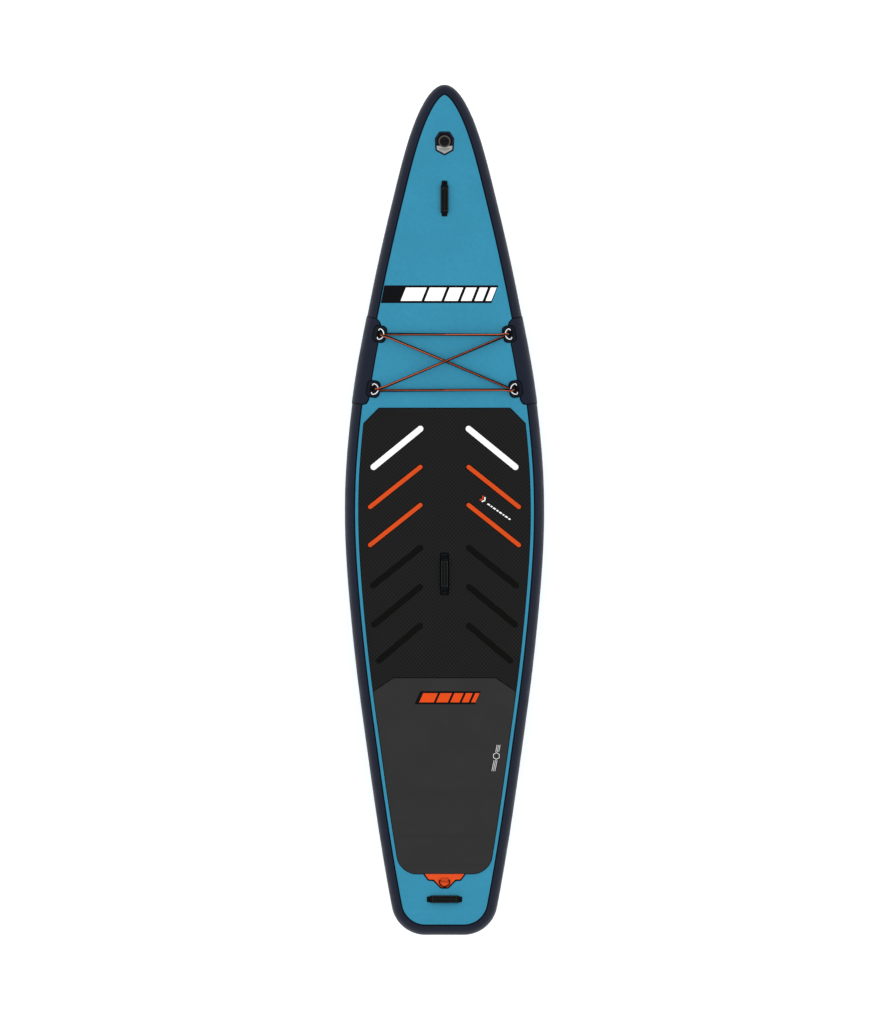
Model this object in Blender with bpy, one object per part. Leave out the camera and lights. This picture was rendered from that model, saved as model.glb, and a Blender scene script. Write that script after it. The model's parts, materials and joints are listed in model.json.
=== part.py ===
"""Inflatable touring stand up paddleboard, lying deck up.

Frame: metres. +X to the board's right, +Y to the nose, +Z up. The origin is on the flat stretch of the
underside, on the centre line, half way along the board. Every skin, tape, pad and patch is laid on one
surface: a slab as thick as the board whose edge is a half round, bent upwards towards the nose and the tail.
"""

import math

import bmesh
import bpy
import numpy as np
from mathutils import Matrix, Vector
from mathutils.geometry import delaunay_2d_cdt

# ---------------------------------------------------------------- driving dimensions
LENGTH = 3.505
THICKNESS = 0.150
RAIL_R = THICKNESS / 2  # the rail is a half round
NOSE_RISE, NOSE_RISE_FROM, NOSE_RISE_POWER = 0.165, 0.45, 2.2
TAIL_RISE, TAIL_RISE_FROM, TAIL_RISE_POWER = 0.025, -0.95, 2.0
TAIL_CORNER_R = 0.140

# Distance behind the nose tip, and half width there. Half width squared is interpolated: it rounds the nose.
HALF_OUTLINE = (
    (0.000, 0.000),
    (0.170, 0.129),
    (0.500, 0.220),
    (0.900, 0.308),
    (1.250, 0.372),
    (1.550, 0.404),
    (1.775, 0.411),
    (2.000, 0.402),
    (2.350, 0.370),
    (2.750, 0.318),
    (3.100, 0.267),
    (3.400, 0.215),
)

GAP = 0.0004  # between skins that touch
SKIN = 0.0009
CHAMBER_WALL = 0.0012
CHAMBER_OUT = SKIN + GAP  # depth of the chamber's outer face under the board's surface
CHAMBER_IN = CHAMBER_OUT + CHAMBER_WALL
SEAM_INSET = 0.040  # the deck skin meets the rail band this far inside the outline
TAPE_WIDTH, TAPE = 0.0065, 0.0005
TAPE_BASE = 0.0003
RAIL_PATCH_BASE, RAIL_PATCH = 0.0016, 0.0008
PAD_BASE, PAD, PAD_INSET = 0.0006, 0.0050, 0.058
PAD_SEAM = 0.003
ROCKER_STEP = 0.070  # longest straight edge of a sheet where the board bends
BAR_THICKNESS = 0.0042

THETA_SEAM = math.acos((RAIL_R - SEAM_INSET) / RAIL_R)
BAND_STEPS = 3
SHOULDER_THETAS = (math.radians(77), math.radians(90))

RING_WIRE_R = 0.0025
RING_WIDTH, RING_REACH = 0.0430, 0.0275  # middle of the wire: along the bar, and from bar to bow
RING_LIFT = 0.0034  # bar above its patch
RING_TUNNEL_R = 0.0030
TAB_SINK = 0.0006  # how far a bungee ring's tab reaches into its patch
BUNGEE_RING_TILT = math.radians(25)
RING_PATCH_BASE, RING_PATCH = 0.0034, 0.0015
CORD_R = 0.0050

BUNGEE_RINGS = {  # bar position in plan
    "front_left": (-0.2715, 0.7255),
    "front_right": (0.2715, 0.7255),
    "rear_right": (0.2980, 0.4985),
    "rear_left": (-0.2980, 0.4985),
}
LEASH_RING_Y = -1.5265
VALVE_Y = 1.5196
FIN_BOX_Y = -1.290

# inner end, outer end, bar width, slot width and colour of the pad's chevron bars, on the right
PAD_BARS = (
    ((0.0995, 0.3337), (0.2925, 0.1762), 0.0250, 0.0260, "white"),
    ((0.0995, 0.1762), (0.3065, 0.0117), 0.0180, 0.0240, "orange"),
    ((0.0995, 0.0192), (0.3065, -0.1453), 0.0180, 0.0240, "orange"),
    ((0.1005, -0.1577), (0.2950, -0.3120), 0.0240, 0.0250, "black"),
    ((0.1005, -0.3180), (0.2900, -0.4734), 0.0240, 0.0250, "black"),
    ((0.1005, -0.4780), (0.2700, -0.6215), 0.0240, 0.0250, "black"),
)

# centre, turn from lying along the board, overall length, grip length, grip width
HANDLES = {
    "nose_handle": ((0.0, 1.2830), 0.0, 0.152, 0.118, 0.033),
    "centre_handle": ((0.0, -0.2644), 0.0, 0.168, 0.124, 0.030),
    "tail_handle": ((0.0, -1.6060), math.pi / 2, 0.148, 0.120, 0.032),
}
WEBBING_WIDTH, WEBBING = 0.0220, 0.0020


# ---------------------------------------------------------------- the board's surface
def half_width(s):
    """Half width at a distance s behind the nose tip."""
    xs = [p[0] for p in HALF_OUTLINE]
    ys = [p[1] ** 2 for p in HALF_OUTLINE]
    i = min(max(int(np.searchsorted(xs, s, side="right")) - 1, 0), len(xs) - 2)

    def slope(k):
        low, high = max(k - 1, 0), min(k + 1, len(xs) - 1)
        return (ys[high] - ys[low]) / (xs[high] - xs[low])

    h = xs[i + 1] - xs[i]
    t = (s - xs[i]) / h
    cubic = (
        (2 * t**3 - 3 * t**2 + 1) * ys[i]
        + (t**3 - 2 * t**2 + t) * h * slope(i)
        + (3 * t**2 - 2 * t**3) * ys[i + 1]
        + (t**3 - t**2) * h * slope(i + 1)
    )
    return math.sqrt(max(cubic, 0.0))


def dense_half_outline(samples=700, corner_samples=80):
    """Points from the nose tip down the right side and round the tail corner, with their inward normals."""
    end, step = HALF_OUTLINE[-1][0], 0.02
    slope = (half_width(end) - half_width(end - step)) / step
    lean = math.atan(-slope)
    centre_s = LENGTH - TAIL_CORNER_R
    side = half_width(end) + slope * (centre_s - end)
    centre_w = side - TAIL_CORNER_R * math.sqrt(1 + slope**2)
    start = centre_s + TAIL_CORNER_R * math.sin(lean)
    points = []
    for k in range(samples):
        s = start * (k / samples) ** 2
        points.append((half_width(s), LENGTH / 2 - s))
    for k in range(corner_samples + 1):
        a = lean + (math.pi / 2 - lean) * k / corner_samples
        points.append(
            (
                centre_w + TAIL_CORNER_R * math.cos(a),
                LENGTH / 2 - centre_s - TAIL_CORNER_R * math.sin(a),
            )
        )
    line = np.array(points)
    tangent = np.gradient(line, axis=0)
    tangent[0], tangent[-1] = (1, 0), (-1, 0)
    tangent /= np.linalg.norm(tangent, axis=1)[:, None]
    return line, np.stack([tangent[:, 1], -tangent[:, 0]], axis=1)


LINE, LINE_NORMAL = dense_half_outline()


def stations():
    """Indices into LINE, close together at the nose and the tail corner and wide apart along the sides."""
    finest, widest, growth, corner = 0.013, 0.125, 0.20, 0.034
    chosen, since = [0], 0.0
    for k in range(1, len(LINE)):
        step = float(np.linalg.norm(LINE[k] - LINE[k - 1]))
        since += step
        gone = LENGTH / 2 - LINE[k][1]
        left = gone - (LENGTH - TAIL_CORNER_R)
        wanted = min(finest + growth * gone, widest)
        if left > 0:
            wanted = corner
        if since >= wanted:
            chosen.append(k)
            since = 0.0
    if chosen[-1] != len(LINE) - 1:
        chosen[-1] = len(LINE) - 1
    return chosen


STATIONS = stations()


def rocker(y):
    """How far the board is bent upwards at y."""
    if y > NOSE_RISE_FROM:
        share = (y - NOSE_RISE_FROM) / (LENGTH / 2 - NOSE_RISE_FROM)
        return NOSE_RISE * share**NOSE_RISE_POWER
    if y < TAIL_RISE_FROM:
        share = (TAIL_RISE_FROM - y) / (TAIL_RISE_FROM + LENGTH / 2)
        return TAIL_RISE * share**TAIL_RISE_POWER
    return 0.0


def rocker_slope(y):
    h = 0.001
    return (rocker(y + h) - rocker(y - h)) / (2 * h)


def inset_of(x, y):
    """Distance of a plan point from the outline, or from the flat tail edge."""
    side = float(np.min(np.hypot(LINE[:, 0] - abs(x), LINE[:, 1] - y)))
    return min(side, y + LENGTH / 2) if abs(x) < LINE[-1][0] else side


def surface(x, y, side=1):
    """Height of the deck (side 1) or of the underside (side -1) at a plan point."""
    inset = min(inset_of(x, y), RAIL_R)
    round_part = math.sqrt(max(RAIL_R**2 - (RAIL_R - inset) ** 2, 0.0))
    return RAIL_R + side * round_part + rocker(y)


def half_ring(theta, depth, picks=None):
    """Right half of the level line at an angle above the rail's widest line, depth inside the surface."""
    r = RAIL_R - depth
    inset = RAIL_R - r * math.cos(theta)
    picks = STATIONS if picks is None else picks
    plan = LINE[picks] + LINE_NORMAL[picks] * inset
    if picks[0] == 0 and plan[1][0] < 0:
        first = int(np.argmax(plan[:, 0] > 0.0005))
        low, high = plan[first - 1], plan[first]
        share = -low[0] / (high[0] - low[0])
        plan[:first] = (0.0, low[1] + share * (high[1] - low[1]))
    height = RAIL_R + r * math.sin(theta)
    return [Vector((x, y, height + rocker(y))) for x, y in plan]


def whole_ring(theta, depth):
    """The level line all the way round: nose tip, right side, then left side from the tail."""
    right = half_ring(theta, depth)
    left = [Vector((-p.x, p.y, p.z)) for p in reversed(right[1:])]
    return right + left


# ---------------------------------------------------------------- mesh helpers
def clear_scene():
    for old in list(bpy.data.objects):
        bpy.data.objects.remove(old)


def make_material(name, colour, roughness, metallic=0.0):
    made = bpy.data.materials.new(name)
    made.use_nodes = True
    shader = made.node_tree.nodes["Principled BSDF"]
    shader.inputs["Base Color"].default_value = (*colour, 1.0)
    shader.inputs["Roughness"].default_value = roughness
    shader.inputs["Metallic"].default_value = metallic
    made.diffuse_color = (*colour, 1.0)
    return made


def make_object(name, verts, faces, finish, place=None, smooth_deg=40, inside=None):
    """An object from points and faces. inside is a second closed surface, which bounds a hollow."""
    mesh = bpy.data.meshes.new(name)
    shells = [(verts, faces, False)] + ([(*inside, True)] if inside else [])
    whole = bmesh.new()
    for points, polygons, hollow in shells:
        part = bmesh.new()
        made = [part.verts.new(p) for p in points]
        for polygon in polygons:
            part.faces.new([made[i] for i in polygon])
        bmesh.ops.remove_doubles(part, verts=part.verts, dist=1e-6)
        bmesh.ops.recalc_face_normals(part, faces=part.faces)
        if hollow:
            bmesh.ops.reverse_faces(part, faces=part.faces)
        piece = bpy.data.meshes.new(name + "_shell")
        part.to_mesh(piece)
        part.free()
        whole.from_mesh(piece)
        bpy.data.meshes.remove(piece)
    whole.to_mesh(mesh)
    whole.free()
    mesh.shade_smooth()
    mesh.set_sharp_from_angle(angle=math.radians(smooth_deg))
    mesh.materials.append(finish)
    made = bpy.data.objects.new(name, mesh)
    bpy.context.scene.collection.objects.link(made)
    if place is not None:
        made.matrix_world = place
    return made


def thick_sheet(outer, inner, faces):
    """Closed solid between two surfaces with the same faces: (points, faces)."""
    count = len(outer)
    directed = {(f[k], f[(k + 1) % len(f)]) for f in faces for k in range(len(f))}
    rim = [(a, b) for a, b in directed if (b, a) not in directed]
    solid = [list(f) for f in faces]
    solid += [[i + count for i in reversed(f)] for f in faces]
    solid += [[b, a, a + count, b + count] for a, b in sorted(rim)]
    return list(outer) + list(inner), solid


def strips(rows, row_length, closed):
    """Quads between successive rows of points."""
    faces = []
    last = row_length if closed else row_length - 1
    for r in range(rows - 1):
        for k in range(last):
            n = (k + 1) % row_length
            a, b = r * row_length + k, r * row_length + n
            faces.append([a, b, b + row_length, a + row_length])
    return faces


def cross_bars(start, row_length):
    """Faces from side to side across a whole ring whose first point is numbered start."""
    right = list(range(1, (row_length + 1) // 2))
    faces = [[start, start + right[0], start + row_length - right[0]]]
    for k in right[:-1]:
        n = row_length - k
        faces.append([start + k, start + k + 1, start + n - 1, start + n])
    return faces


def fitted(outline):
    """The outline with points where an edge crosses onto the shoulder, and long edges split on the rocker."""
    points = []
    for k, start in enumerate(outline):
        end = outline[(k + 1) % len(outline)]
        points.append(start)

        def at(share, start=start, end=end):
            return (start[0] + (end[0] - start[0]) * share, start[1] + (end[1] - start[1]) * share)

        depths = [inset_of(*start) - RAIL_R, inset_of(*end) - RAIL_R]
        curved = max(start[1], end[1]) > NOSE_RISE_FROM or min(start[1], end[1]) < TAIL_RISE_FROM
        pieces = math.ceil(math.dist(start, end) / ROCKER_STEP) if curved else 1
        shares = [n / pieces for n in range(1, pieces)]
        if depths[0] * depths[1] < 0 and min(abs(d) for d in depths) > 0.001:
            low, high = 0.0, 1.0
            for _ in range(20):
                middle = (low + high) / 2
                if (inset_of(*at(middle)) - RAIL_R) * depths[0] > 0:
                    low = middle
                else:
                    high = middle
            shares.append(middle)
        points += [at(share) for share in sorted(shares)]
    return points


def laid_sheet(name, outline, base, thickness, finish, side=1, holes=(), extra=(), folds=()):
    """A flat cut laid on the deck or underside. Extra points and fold lines make it follow the surface."""
    outline = fitted(outline)
    loops = [outline, *holes]
    points, edges = [], []
    for loop in loops:
        first = len(points)
        points += [Vector(p) for p in loop]
        edges += [(first + k, first + (k + 1) % len(loop)) for k in range(len(loop))]
    for fold in folds:
        first = len(points)
        points += [Vector(p) for p in fold]
        edges += [(first + k, first + k + 1) for k in range(len(fold) - 1)]
    points += [Vector(p) for p in extra if inside_polygon(p, outline)]
    flat, _, triangles, *_ = delaunay_2d_cdt(points, edges, [], 1, 1e-6)
    kept = []
    for triangle in triangles:
        middle = sum((flat[i] for i in triangle), Vector((0, 0))) / 3
        if inside_polygon(middle, outline) and not any(inside_polygon(middle, h) for h in holes):
            kept.append(list(triangle))
    used = sorted({i for f in kept for i in f})
    number = {old: new for new, old in enumerate(used)}
    kept = [[number[i] for i in f] for f in kept]

    def lifted(height):
        return [Vector((flat[i].x, flat[i].y, surface(*flat[i], side) + side * height)) for i in used]

    verts, faces = thick_sheet(lifted(base + thickness), lifted(base), kept)
    return make_object(name, verts, faces, finish, smooth_deg=30)


def inside_polygon(point, polygon):
    x, y = point[0], point[1]
    found = False
    for k in range(len(polygon)):
        (ax, ay), (bx, by) = polygon[k - 1][:2], polygon[k][:2]
        if (ay > y) != (by > y) and x < (bx - ax) * (y - ay) / (by - ay) + ax:
            found = not found
    return found


def arc(centre, radius, from_deg, to_deg, steps):
    angles = [math.radians(from_deg + (to_deg - from_deg) * k / steps) for k in range(steps + 1)]
    return [(centre[0] + radius * math.cos(a), centre[1] + radius * math.sin(a)) for a in angles]


def rounded_rectangle(half_x, half_y, r, steps=3):
    corners = ((1, 1, 0), (-1, 1, 90), (-1, -1, 180), (1, -1, 270))
    points = []
    for sx, sy, a in corners:
        points += arc((sx * (half_x - r), sy * (half_y - r)), r, a, a + 90, steps)
    return points


def stadium(start, end, width, steps=5):
    """Outline of a bar with round ends."""
    lean = math.degrees(math.atan2(end[1] - start[1], end[0] - start[0]))
    r = width / 2
    return arc(end, r, lean - 90, lean + 90, steps) + arc(start, r, lean + 90, lean + 270, steps)


def mirrored(points):
    return [(-x, y) for x, y in reversed(points)]


def lathe(name, profile, segments, finish, place, smooth_deg=35):
    """A closed profile of (radius, height) turned about the local Z axis. A radius of 0 lies on the axis."""
    verts, rows = [], []
    for r, z in profile:
        if r == 0:
            rows.append([len(verts)] * segments)
            verts.append(Vector((0, 0, z)))
            continue
        rows.append([len(verts) + k for k in range(segments)])
        for k in range(segments):
            a = 2 * math.pi * k / segments
            verts.append(Vector((r * math.cos(a), r * math.sin(a), z)))
    faces = []
    open_profile = profile[0][0] == 0 and profile[-1][0] == 0
    for i in range(len(rows) - (1 if open_profile else 0)):
        row, above = rows[i], rows[(i + 1) % len(rows)]
        for k in range(segments):
            n = (k + 1) % segments
            face = list(dict.fromkeys([row[k], row[n], above[n], above[k]]))
            if len(face) > 2:
                faces.append(face)
    return make_object(name, verts, faces, finish, place, smooth_deg)


def rod(r, low, high):
    """Profile of a plain round rod, to be turned."""
    return [(0, low), (r, low), (r, high), (0, high)]


def prism(name, polygon, half_depth, finish, place, axis="Y", smooth_deg=35):
    """A polygon pushed both ways along an axis: (x, z) along Y, or (x, y) along Z."""
    def at(point, depth):
        a, b = point
        return Vector((a, depth, b)) if axis == "Y" else Vector((a, b, depth))

    count = len(polygon)
    verts = [at(p, -half_depth) for p in polygon] + [at(p, half_depth) for p in polygon]
    faces = [[k, (k + 1) % count, (k + 1) % count + count, k + count] for k in range(count)]
    faces += [list(range(count)), list(range(2 * count - 1, count - 1, -1))]
    return make_object(name, verts, faces, finish, place, smooth_deg)


def slab(name, low, high, finish, place):
    outline = [(low[0], low[1]), (high[0], low[1]), (high[0], high[1]), (low[0], high[1])]
    middle = place @ Matrix.Translation((0, 0, (low[2] + high[2]) / 2))
    return prism(name, outline, (high[2] - low[2]) / 2, finish, middle, "Z")


def wire(name, points, radius, finish, resolution, closed=False, place=None):
    """A round wire or cord through points."""
    curve = bpy.data.curves.new(name, "CURVE")
    curve.dimensions = "3D"
    curve.bevel_depth = radius
    curve.bevel_resolution = resolution
    curve.use_fill_caps = not closed
    spline = curve.splines.new("POLY")
    spline.points.add(len(points) - 1)
    for k, p in enumerate(points):
        spline.points[k].co = (*p, 1.0)
    spline.use_cyclic_u = closed
    curve.materials.append(finish)
    made = bpy.data.objects.new(name, curve)
    bpy.context.scene.collection.objects.link(made)
    if place is not None:
        made.matrix_world = place
    return made


def combine(target, other, operation):
    """Cuts the other shape from the target, or joins it on, and keeps it as a hidden guide."""
    step = target.modifiers.new(other.name, "BOOLEAN")
    step.operation = operation
    step.solver = "EXACT"
    step.object = other
    other.hide_render = True
    other.display_type = "WIRE"


# ---------------------------------------------------------------- local frames on the surface
def frame_on(x, y, side=1, turn=0.0):
    """Origin on the surface, local +Z outwards, local +Y towards the nose before the turn."""
    up = Vector((0.0, -side * rocker_slope(y), side)).normalized()
    ahead = Vector((0.0, 1.0, rocker_slope(y))).normalized()
    across = ahead.cross(up)
    turned = Matrix((across, ahead, up)).transposed().to_4x4()
    return Matrix.Translation((x, y, surface(x, y, side))) @ turned @ Matrix.Rotation(turn, 4, "Z")


def ring_frame(x, y, lift):
    """Origin on a bungee ring's bar: local +X to the board's middle, +Z off the shoulder, +Y on the bar."""
    h = 0.002
    slope_x = (surface(x + h, y) - surface(x - h, y)) / (2 * h)
    slope_y = (surface(x, y + h) - surface(x, y - h)) / (2 * h)
    up = Vector((-slope_x, -slope_y, 1.0)).normalized()
    nearest = int(np.argmin(np.hypot(LINE[:, 0] - abs(x), LINE[:, 1] - y)))
    inward = Vector((math.copysign(1, x) * LINE_NORMAL[nearest][0], LINE_NORMAL[nearest][1], 0.0))
    inward = (inward - up * inward.dot(up)).normalized()
    bar = up.cross(inward)
    turned = Matrix((inward, bar, up)).transposed().to_4x4()
    return Matrix.Translation(Vector((x, y, surface(x, y))) + up * lift) @ turned


# ---------------------------------------------------------------- hull
def build_chamber(finishes):
    """The airtight drop-stitch chamber, hollow, with the valve's hole through its top wall."""
    band = [THETA_SEAM * k / BAND_STEPS for k in range(BAND_STEPS + 1)]
    outer_thetas = band + list(SHOULDER_THETAS)
    inner_thetas = (0.0, band[2], *SHOULDER_THETAS)

    def closed_slab(thetas, depth):
        angles = [-t for t in reversed(thetas[1:])] + list(thetas)
        rings = [whole_ring(t, depth) for t in angles]
        count = len(rings[0])
        faces = strips(len(rings), count, True)
        faces += cross_bars(0, count) + cross_bars((len(rings) - 1) * count, count)
        return [p for ring in rings for p in ring], faces

    outer = closed_slab(outer_thetas, CHAMBER_OUT)
    inner = closed_slab(inner_thetas, CHAMBER_IN)
    chamber = make_object("air_chamber", *outer, finishes["fabric_grey"], inside=inner)
    drill = lathe("valve_hole_guide", rod(0.0176, -0.012, 0.006), 20, finishes["fabric_grey"],
                  frame_on(0, VALVE_Y))
    combine(chamber, drill, "DIFFERENCE")
    return drill


def build_skin(name, side, finish, drill=None):
    """Deck or hull skin: from the seam over the shoulder and right across the flat."""
    edge = THETA_SEAM + GAP / 2 / RAIL_R
    thetas = (edge, *SHOULDER_THETAS)

    def sheet(depth):
        return [p for t in thetas for p in whole_ring(side * t, depth)]

    count = len(whole_ring(0, 0))
    faces = strips(len(thetas), count, True) + cross_bars((len(thetas) - 1) * count, count)
    made = make_object(name, *thick_sheet(sheet(0), sheet(SKIN), faces), finish)
    if drill:
        combine(made, drill, "DIFFERENCE")


def build_rail_bands(finish):
    """Sidewall strips, butted on the centre line at the nose and the tail."""
    edge = THETA_SEAM - GAP / 2 / RAIL_R
    band = [edge * k / BAND_STEPS for k in range(-BAND_STEPS, BAND_STEPS + 1)]
    half_gap = 0.0003

    def line(theta, depth):
        points = half_ring(theta, depth)
        tail = points[-1].copy()
        tail.x = half_gap
        share = half_gap / points[1].x
        points[0] = points[0].lerp(points[1], share)
        return points + [tail]

    for name, flip in (("rail_band_right", 1), ("rail_band_left", -1)):
        def sheet(depth):
            return [Vector((flip * p.x, p.y, p.z)) for t in band for p in line(t, depth)]

        faces = strips(len(band), len(line(0, 0)), False)
        make_object(name, *thick_sheet(sheet(0), sheet(SKIN), faces), finish)


def build_seam_tape(name, side, finish):
    half = TAPE_WIDTH / 2 / RAIL_R
    thetas = (THETA_SEAM - half, THETA_SEAM + half)

    def sheet(height):
        return [p for t in thetas for p in whole_ring(side * t, -height)]

    faces = strips(2, len(whole_ring(0, 0)), True)
    make_object(name, *thick_sheet(sheet(TAPE_BASE + TAPE), sheet(TAPE_BASE), faces), finish)


def build_rail_patches(finish):
    """Reinforcing wraps over the rail that carry the bungee rings."""
    reach = math.acos((RAIL_R - 0.0675) / RAIL_R)
    front, rear, lower = 0.798, 0.438, math.radians(-56)
    band = [THETA_SEAM * k / BAND_STEPS for k in range(-BAND_STEPS + 1, BAND_STEPS + 1)]
    thetas = [lower, *band, (THETA_SEAM + reach) / 2, reach]
    # how far each line's ends are drawn in, which slants the front edge and rounds both deck corners
    ends = {thetas[-3]: (0.016, 0.003), thetas[-2]: (0.024, 0.008), thetas[-1]: (0.036, 0.023)}
    steps = 6
    ys = LINE[:, 1][::-1]
    for name, flip in (("rail_patch_right", 1), ("rail_patch_left", -1)):
        def sheet(height):
            points = []
            for theta in thetas:
                ahead, behind = ends.get(theta, (0.0, 0.0))
                top, bottom = front - ahead, rear + behind
                wanted = [top + (bottom - top) * k / steps for k in range(steps + 1)]
                picks = [len(LINE) - 1 - int(np.searchsorted(ys, y)) for y in wanted]
                points += [Vector((flip * p.x, p.y, p.z)) for p in half_ring(theta, -height, picks)]
            return points

        faces = strips(len(thetas), steps + 1, False)
        solid = thick_sheet(sheet(RAIL_PATCH_BASE + RAIL_PATCH), sheet(RAIL_PATCH_BASE), faces)
        make_object(name, *solid, finish)


def build_yarns(finish):
    """A sparse stand-in for the thousands of threads that hold deck and underside parallel."""
    pitch, half_post, sheet, foot = 0.210, 0.0015, 0.0006, 0.0006
    low, high = CHAMBER_IN + foot, THICKNESS - CHAMBER_IN - foot
    margin = 0.100
    ys = [y for y in np.arange(-1.60, 1.45, pitch)]
    right = []
    for y in [LENGTH / 2 - 0.21, *reversed(ys), -LENGTH / 2 + 0.105]:
        right.append((max(half_width(LENGTH / 2 - y) - margin, 0.02), float(y)))
    outline = [(-x, y) for x, y in right] + list(reversed(right))
    posts = []
    for y in ys:
        reach = half_width(LENGTH / 2 - y) - margin - 0.02
        across = int(reach // pitch)
        posts += [(k * pitch, float(y)) for k in range(-across, across + 1)]
    corners = ((-1, -1), (1, -1), (1, 1), (-1, 1))
    squares = [[(x + sx * half_post, y + sy * half_post) for sx, sy in corners] for x, y in posts]
    points, edges = [Vector(p) for p in outline], []
    edges += [(k, (k + 1) % len(outline)) for k in range(len(outline))]
    for square in squares:
        first = len(points)
        points += [Vector(p) for p in square]
        edges += [(first + k, first + (k + 1) % 4) for k in range(4)]
    flat, _, triangles, *_ = delaunay_2d_cdt(points, edges, [], 1, 1e-6)
    plain = [list(t) for t in triangles]

    def level(height):
        return [Vector((p.x, p.y, height + rocker(p.y))) for p in flat]

    verts, faces = thick_sheet(level(low + sheet), level(low), plain)
    made = make_object("drop_stitch_yarns", verts, faces, finish, smooth_deg=10)
    net = bmesh.new()
    net.from_mesh(made.data)
    tops = []
    for face in net.faces:
        middle = face.calc_center_median()
        on_post = any(abs(middle.x - x) < half_post and abs(middle.y - y) < half_post for x, y in posts)
        if on_post and face.normal.z > 0.5:
            tops.append(face)
    grown = bmesh.ops.extrude_face_region(net, geom=tops)
    raised = [g for g in grown["geom"] if isinstance(g, bmesh.types.BMVert)]
    bmesh.ops.translate(net, vec=(0, 0, high - low - sheet), verts=raised)
    bmesh.ops.delete(net, geom=tops, context="FACES_ONLY")
    net.to_mesh(made.data)
    net.free()


# ---------------------------------------------------------------- deck pads
def inset_curve(inset, from_y, to_y, steps):
    """Right-hand points that lie one inset inside the outline, from one y to another."""
    line = LINE + LINE_NORMAL * inset
    ys = np.linspace(from_y, to_y, steps + 1)
    return [(float(np.interp(-y, -line[:, 1], line[:, 0])), float(y)) for y in ys]


PAD_FRONT_Y, PAD_FRONT_HALF = 0.418, 0.270
PAD_CHAMFER_Y = 0.356
PAD_JOINT_Y, PAD_JOINT_HALF, PAD_JOINT_SIDE_Y = -0.693, 0.211, -0.748
PAD_TAIL_Y, PAD_TAIL_CORNER_R = -1.500, 0.066


def build_front_pad(finish):
    """Front traction pad, with a slot for each bar and a window for the centre handle."""
    half_seam = PAD_SEAM / 2
    side = inset_curve(PAD_INSET, PAD_CHAMFER_Y, PAD_JOINT_SIDE_Y + half_seam, 11)
    right = [(PAD_FRONT_HALF, PAD_FRONT_Y), *side, (PAD_JOINT_HALF, PAD_JOINT_Y + half_seam)]
    outline = right + mirrored(right)
    slots = []
    for inner, outer, _, slot, _ in PAD_BARS:
        shape = stadium(inner, outer, slot)
        slots += [shape, mirrored(shape)]
    (x, y), _, length, _, grip = HANDLES["centre_handle"]
    window = [(x + px, y + py) for px, py in rounded_rectangle(grip / 2 + 0.004, length / 2 + 0.004, 0.006)]
    shoulder = inset_curve(RAIL_R + 0.001, PAD_CHAMFER_Y - 0.01, PAD_JOINT_SIDE_Y + 0.02, 11)
    folds = [shoulder, mirrored(shoulder)]
    laid_sheet("front_traction_pad", outline, PAD_BASE, PAD, finish, holes=[*slots, window], folds=folds)


def build_tail_pad(finish):
    half_seam = PAD_SEAM / 2
    side = inset_curve(PAD_INSET, PAD_JOINT_SIDE_Y - half_seam, PAD_TAIL_Y + PAD_TAIL_CORNER_R, 8)
    corner_x = side[-1][0] - PAD_TAIL_CORNER_R
    corner = arc((corner_x, PAD_TAIL_Y + PAD_TAIL_CORNER_R), PAD_TAIL_CORNER_R, -10, -90, 5)
    right = [(PAD_JOINT_HALF, PAD_JOINT_Y - half_seam), *side, *corner]
    outline = right + mirrored(right)
    shoulder = inset_curve(RAIL_R + 0.001, PAD_JOINT_SIDE_Y - 0.02, PAD_TAIL_Y + PAD_TAIL_CORNER_R, 8)
    folds = [shoulder, mirrored(shoulder)]
    middle = [(0.0, y) for _, y in shoulder]
    laid_sheet("tail_traction_pad", outline, PAD_BASE, PAD, finish, extra=middle, folds=folds)


def build_pad_bars(finishes):
    for number, (inner, outer, width, _, colour) in enumerate(PAD_BARS, 1):
        shape = stadium(inner, outer, width)
        finish = finishes["bar_" + colour]
        laid_sheet(f"pad_bar_{number}_right", shape, PAD_BASE, BAR_THICKNESS, finish)
        laid_sheet(f"pad_bar_{number}_left", mirrored(shape), PAD_BASE, BAR_THICKNESS, finish)


# ---------------------------------------------------------------- rings and cord
def ring_points(tilt):
    """Middle line of a D ring: a straight bar on local Y, and a bow towards local +X."""
    half, r = RING_WIDTH / 2, 0.006
    points = [(0, half - r), (0, 0), (0, -half + r)]
    points += arc((r, -half + r), r, 225, 270, 1)
    bow = arc((0, 0), 1.0, -90, 90, 10)
    straight = 0.006
    points += [(straight + (RING_REACH - straight) * bx, half * by) for bx, by in bow]
    points += arc((r, half - r), r, 90, 135, 1)
    return [Vector((x * math.cos(tilt), y, x * math.sin(tilt))) for x, y in points]


def ring_tab(name, finish, place, half_length):
    """Webbing loop that holds a ring's bar, with the tunnel for the bar cut out."""
    cover = RING_TUNNEL_R + 0.0014
    foot, bottom = 0.0090, -RING_LIFT - TAB_SINK
    profile = [(-foot, bottom), (foot - 0.002, bottom), (foot - 0.002, bottom + 0.0016)]
    profile += arc((0, 0), cover, 0, 180, 6)
    profile += [(-foot, bottom + 0.0016)]
    tab = prism(name, profile, half_length, finish, place)
    tunnel = prism(name + "_guide", arc((0, 0), RING_TUNNEL_R, 0, 324, 9), half_length + 0.01, finish, place)
    return tab, tunnel


def in_plan(place, points):
    """Plan positions of points that are given in a local frame."""
    placed = [place @ Vector((u, v, 0.0)) for u, v in points]
    return [(p.x, p.y) for p in placed]


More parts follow.
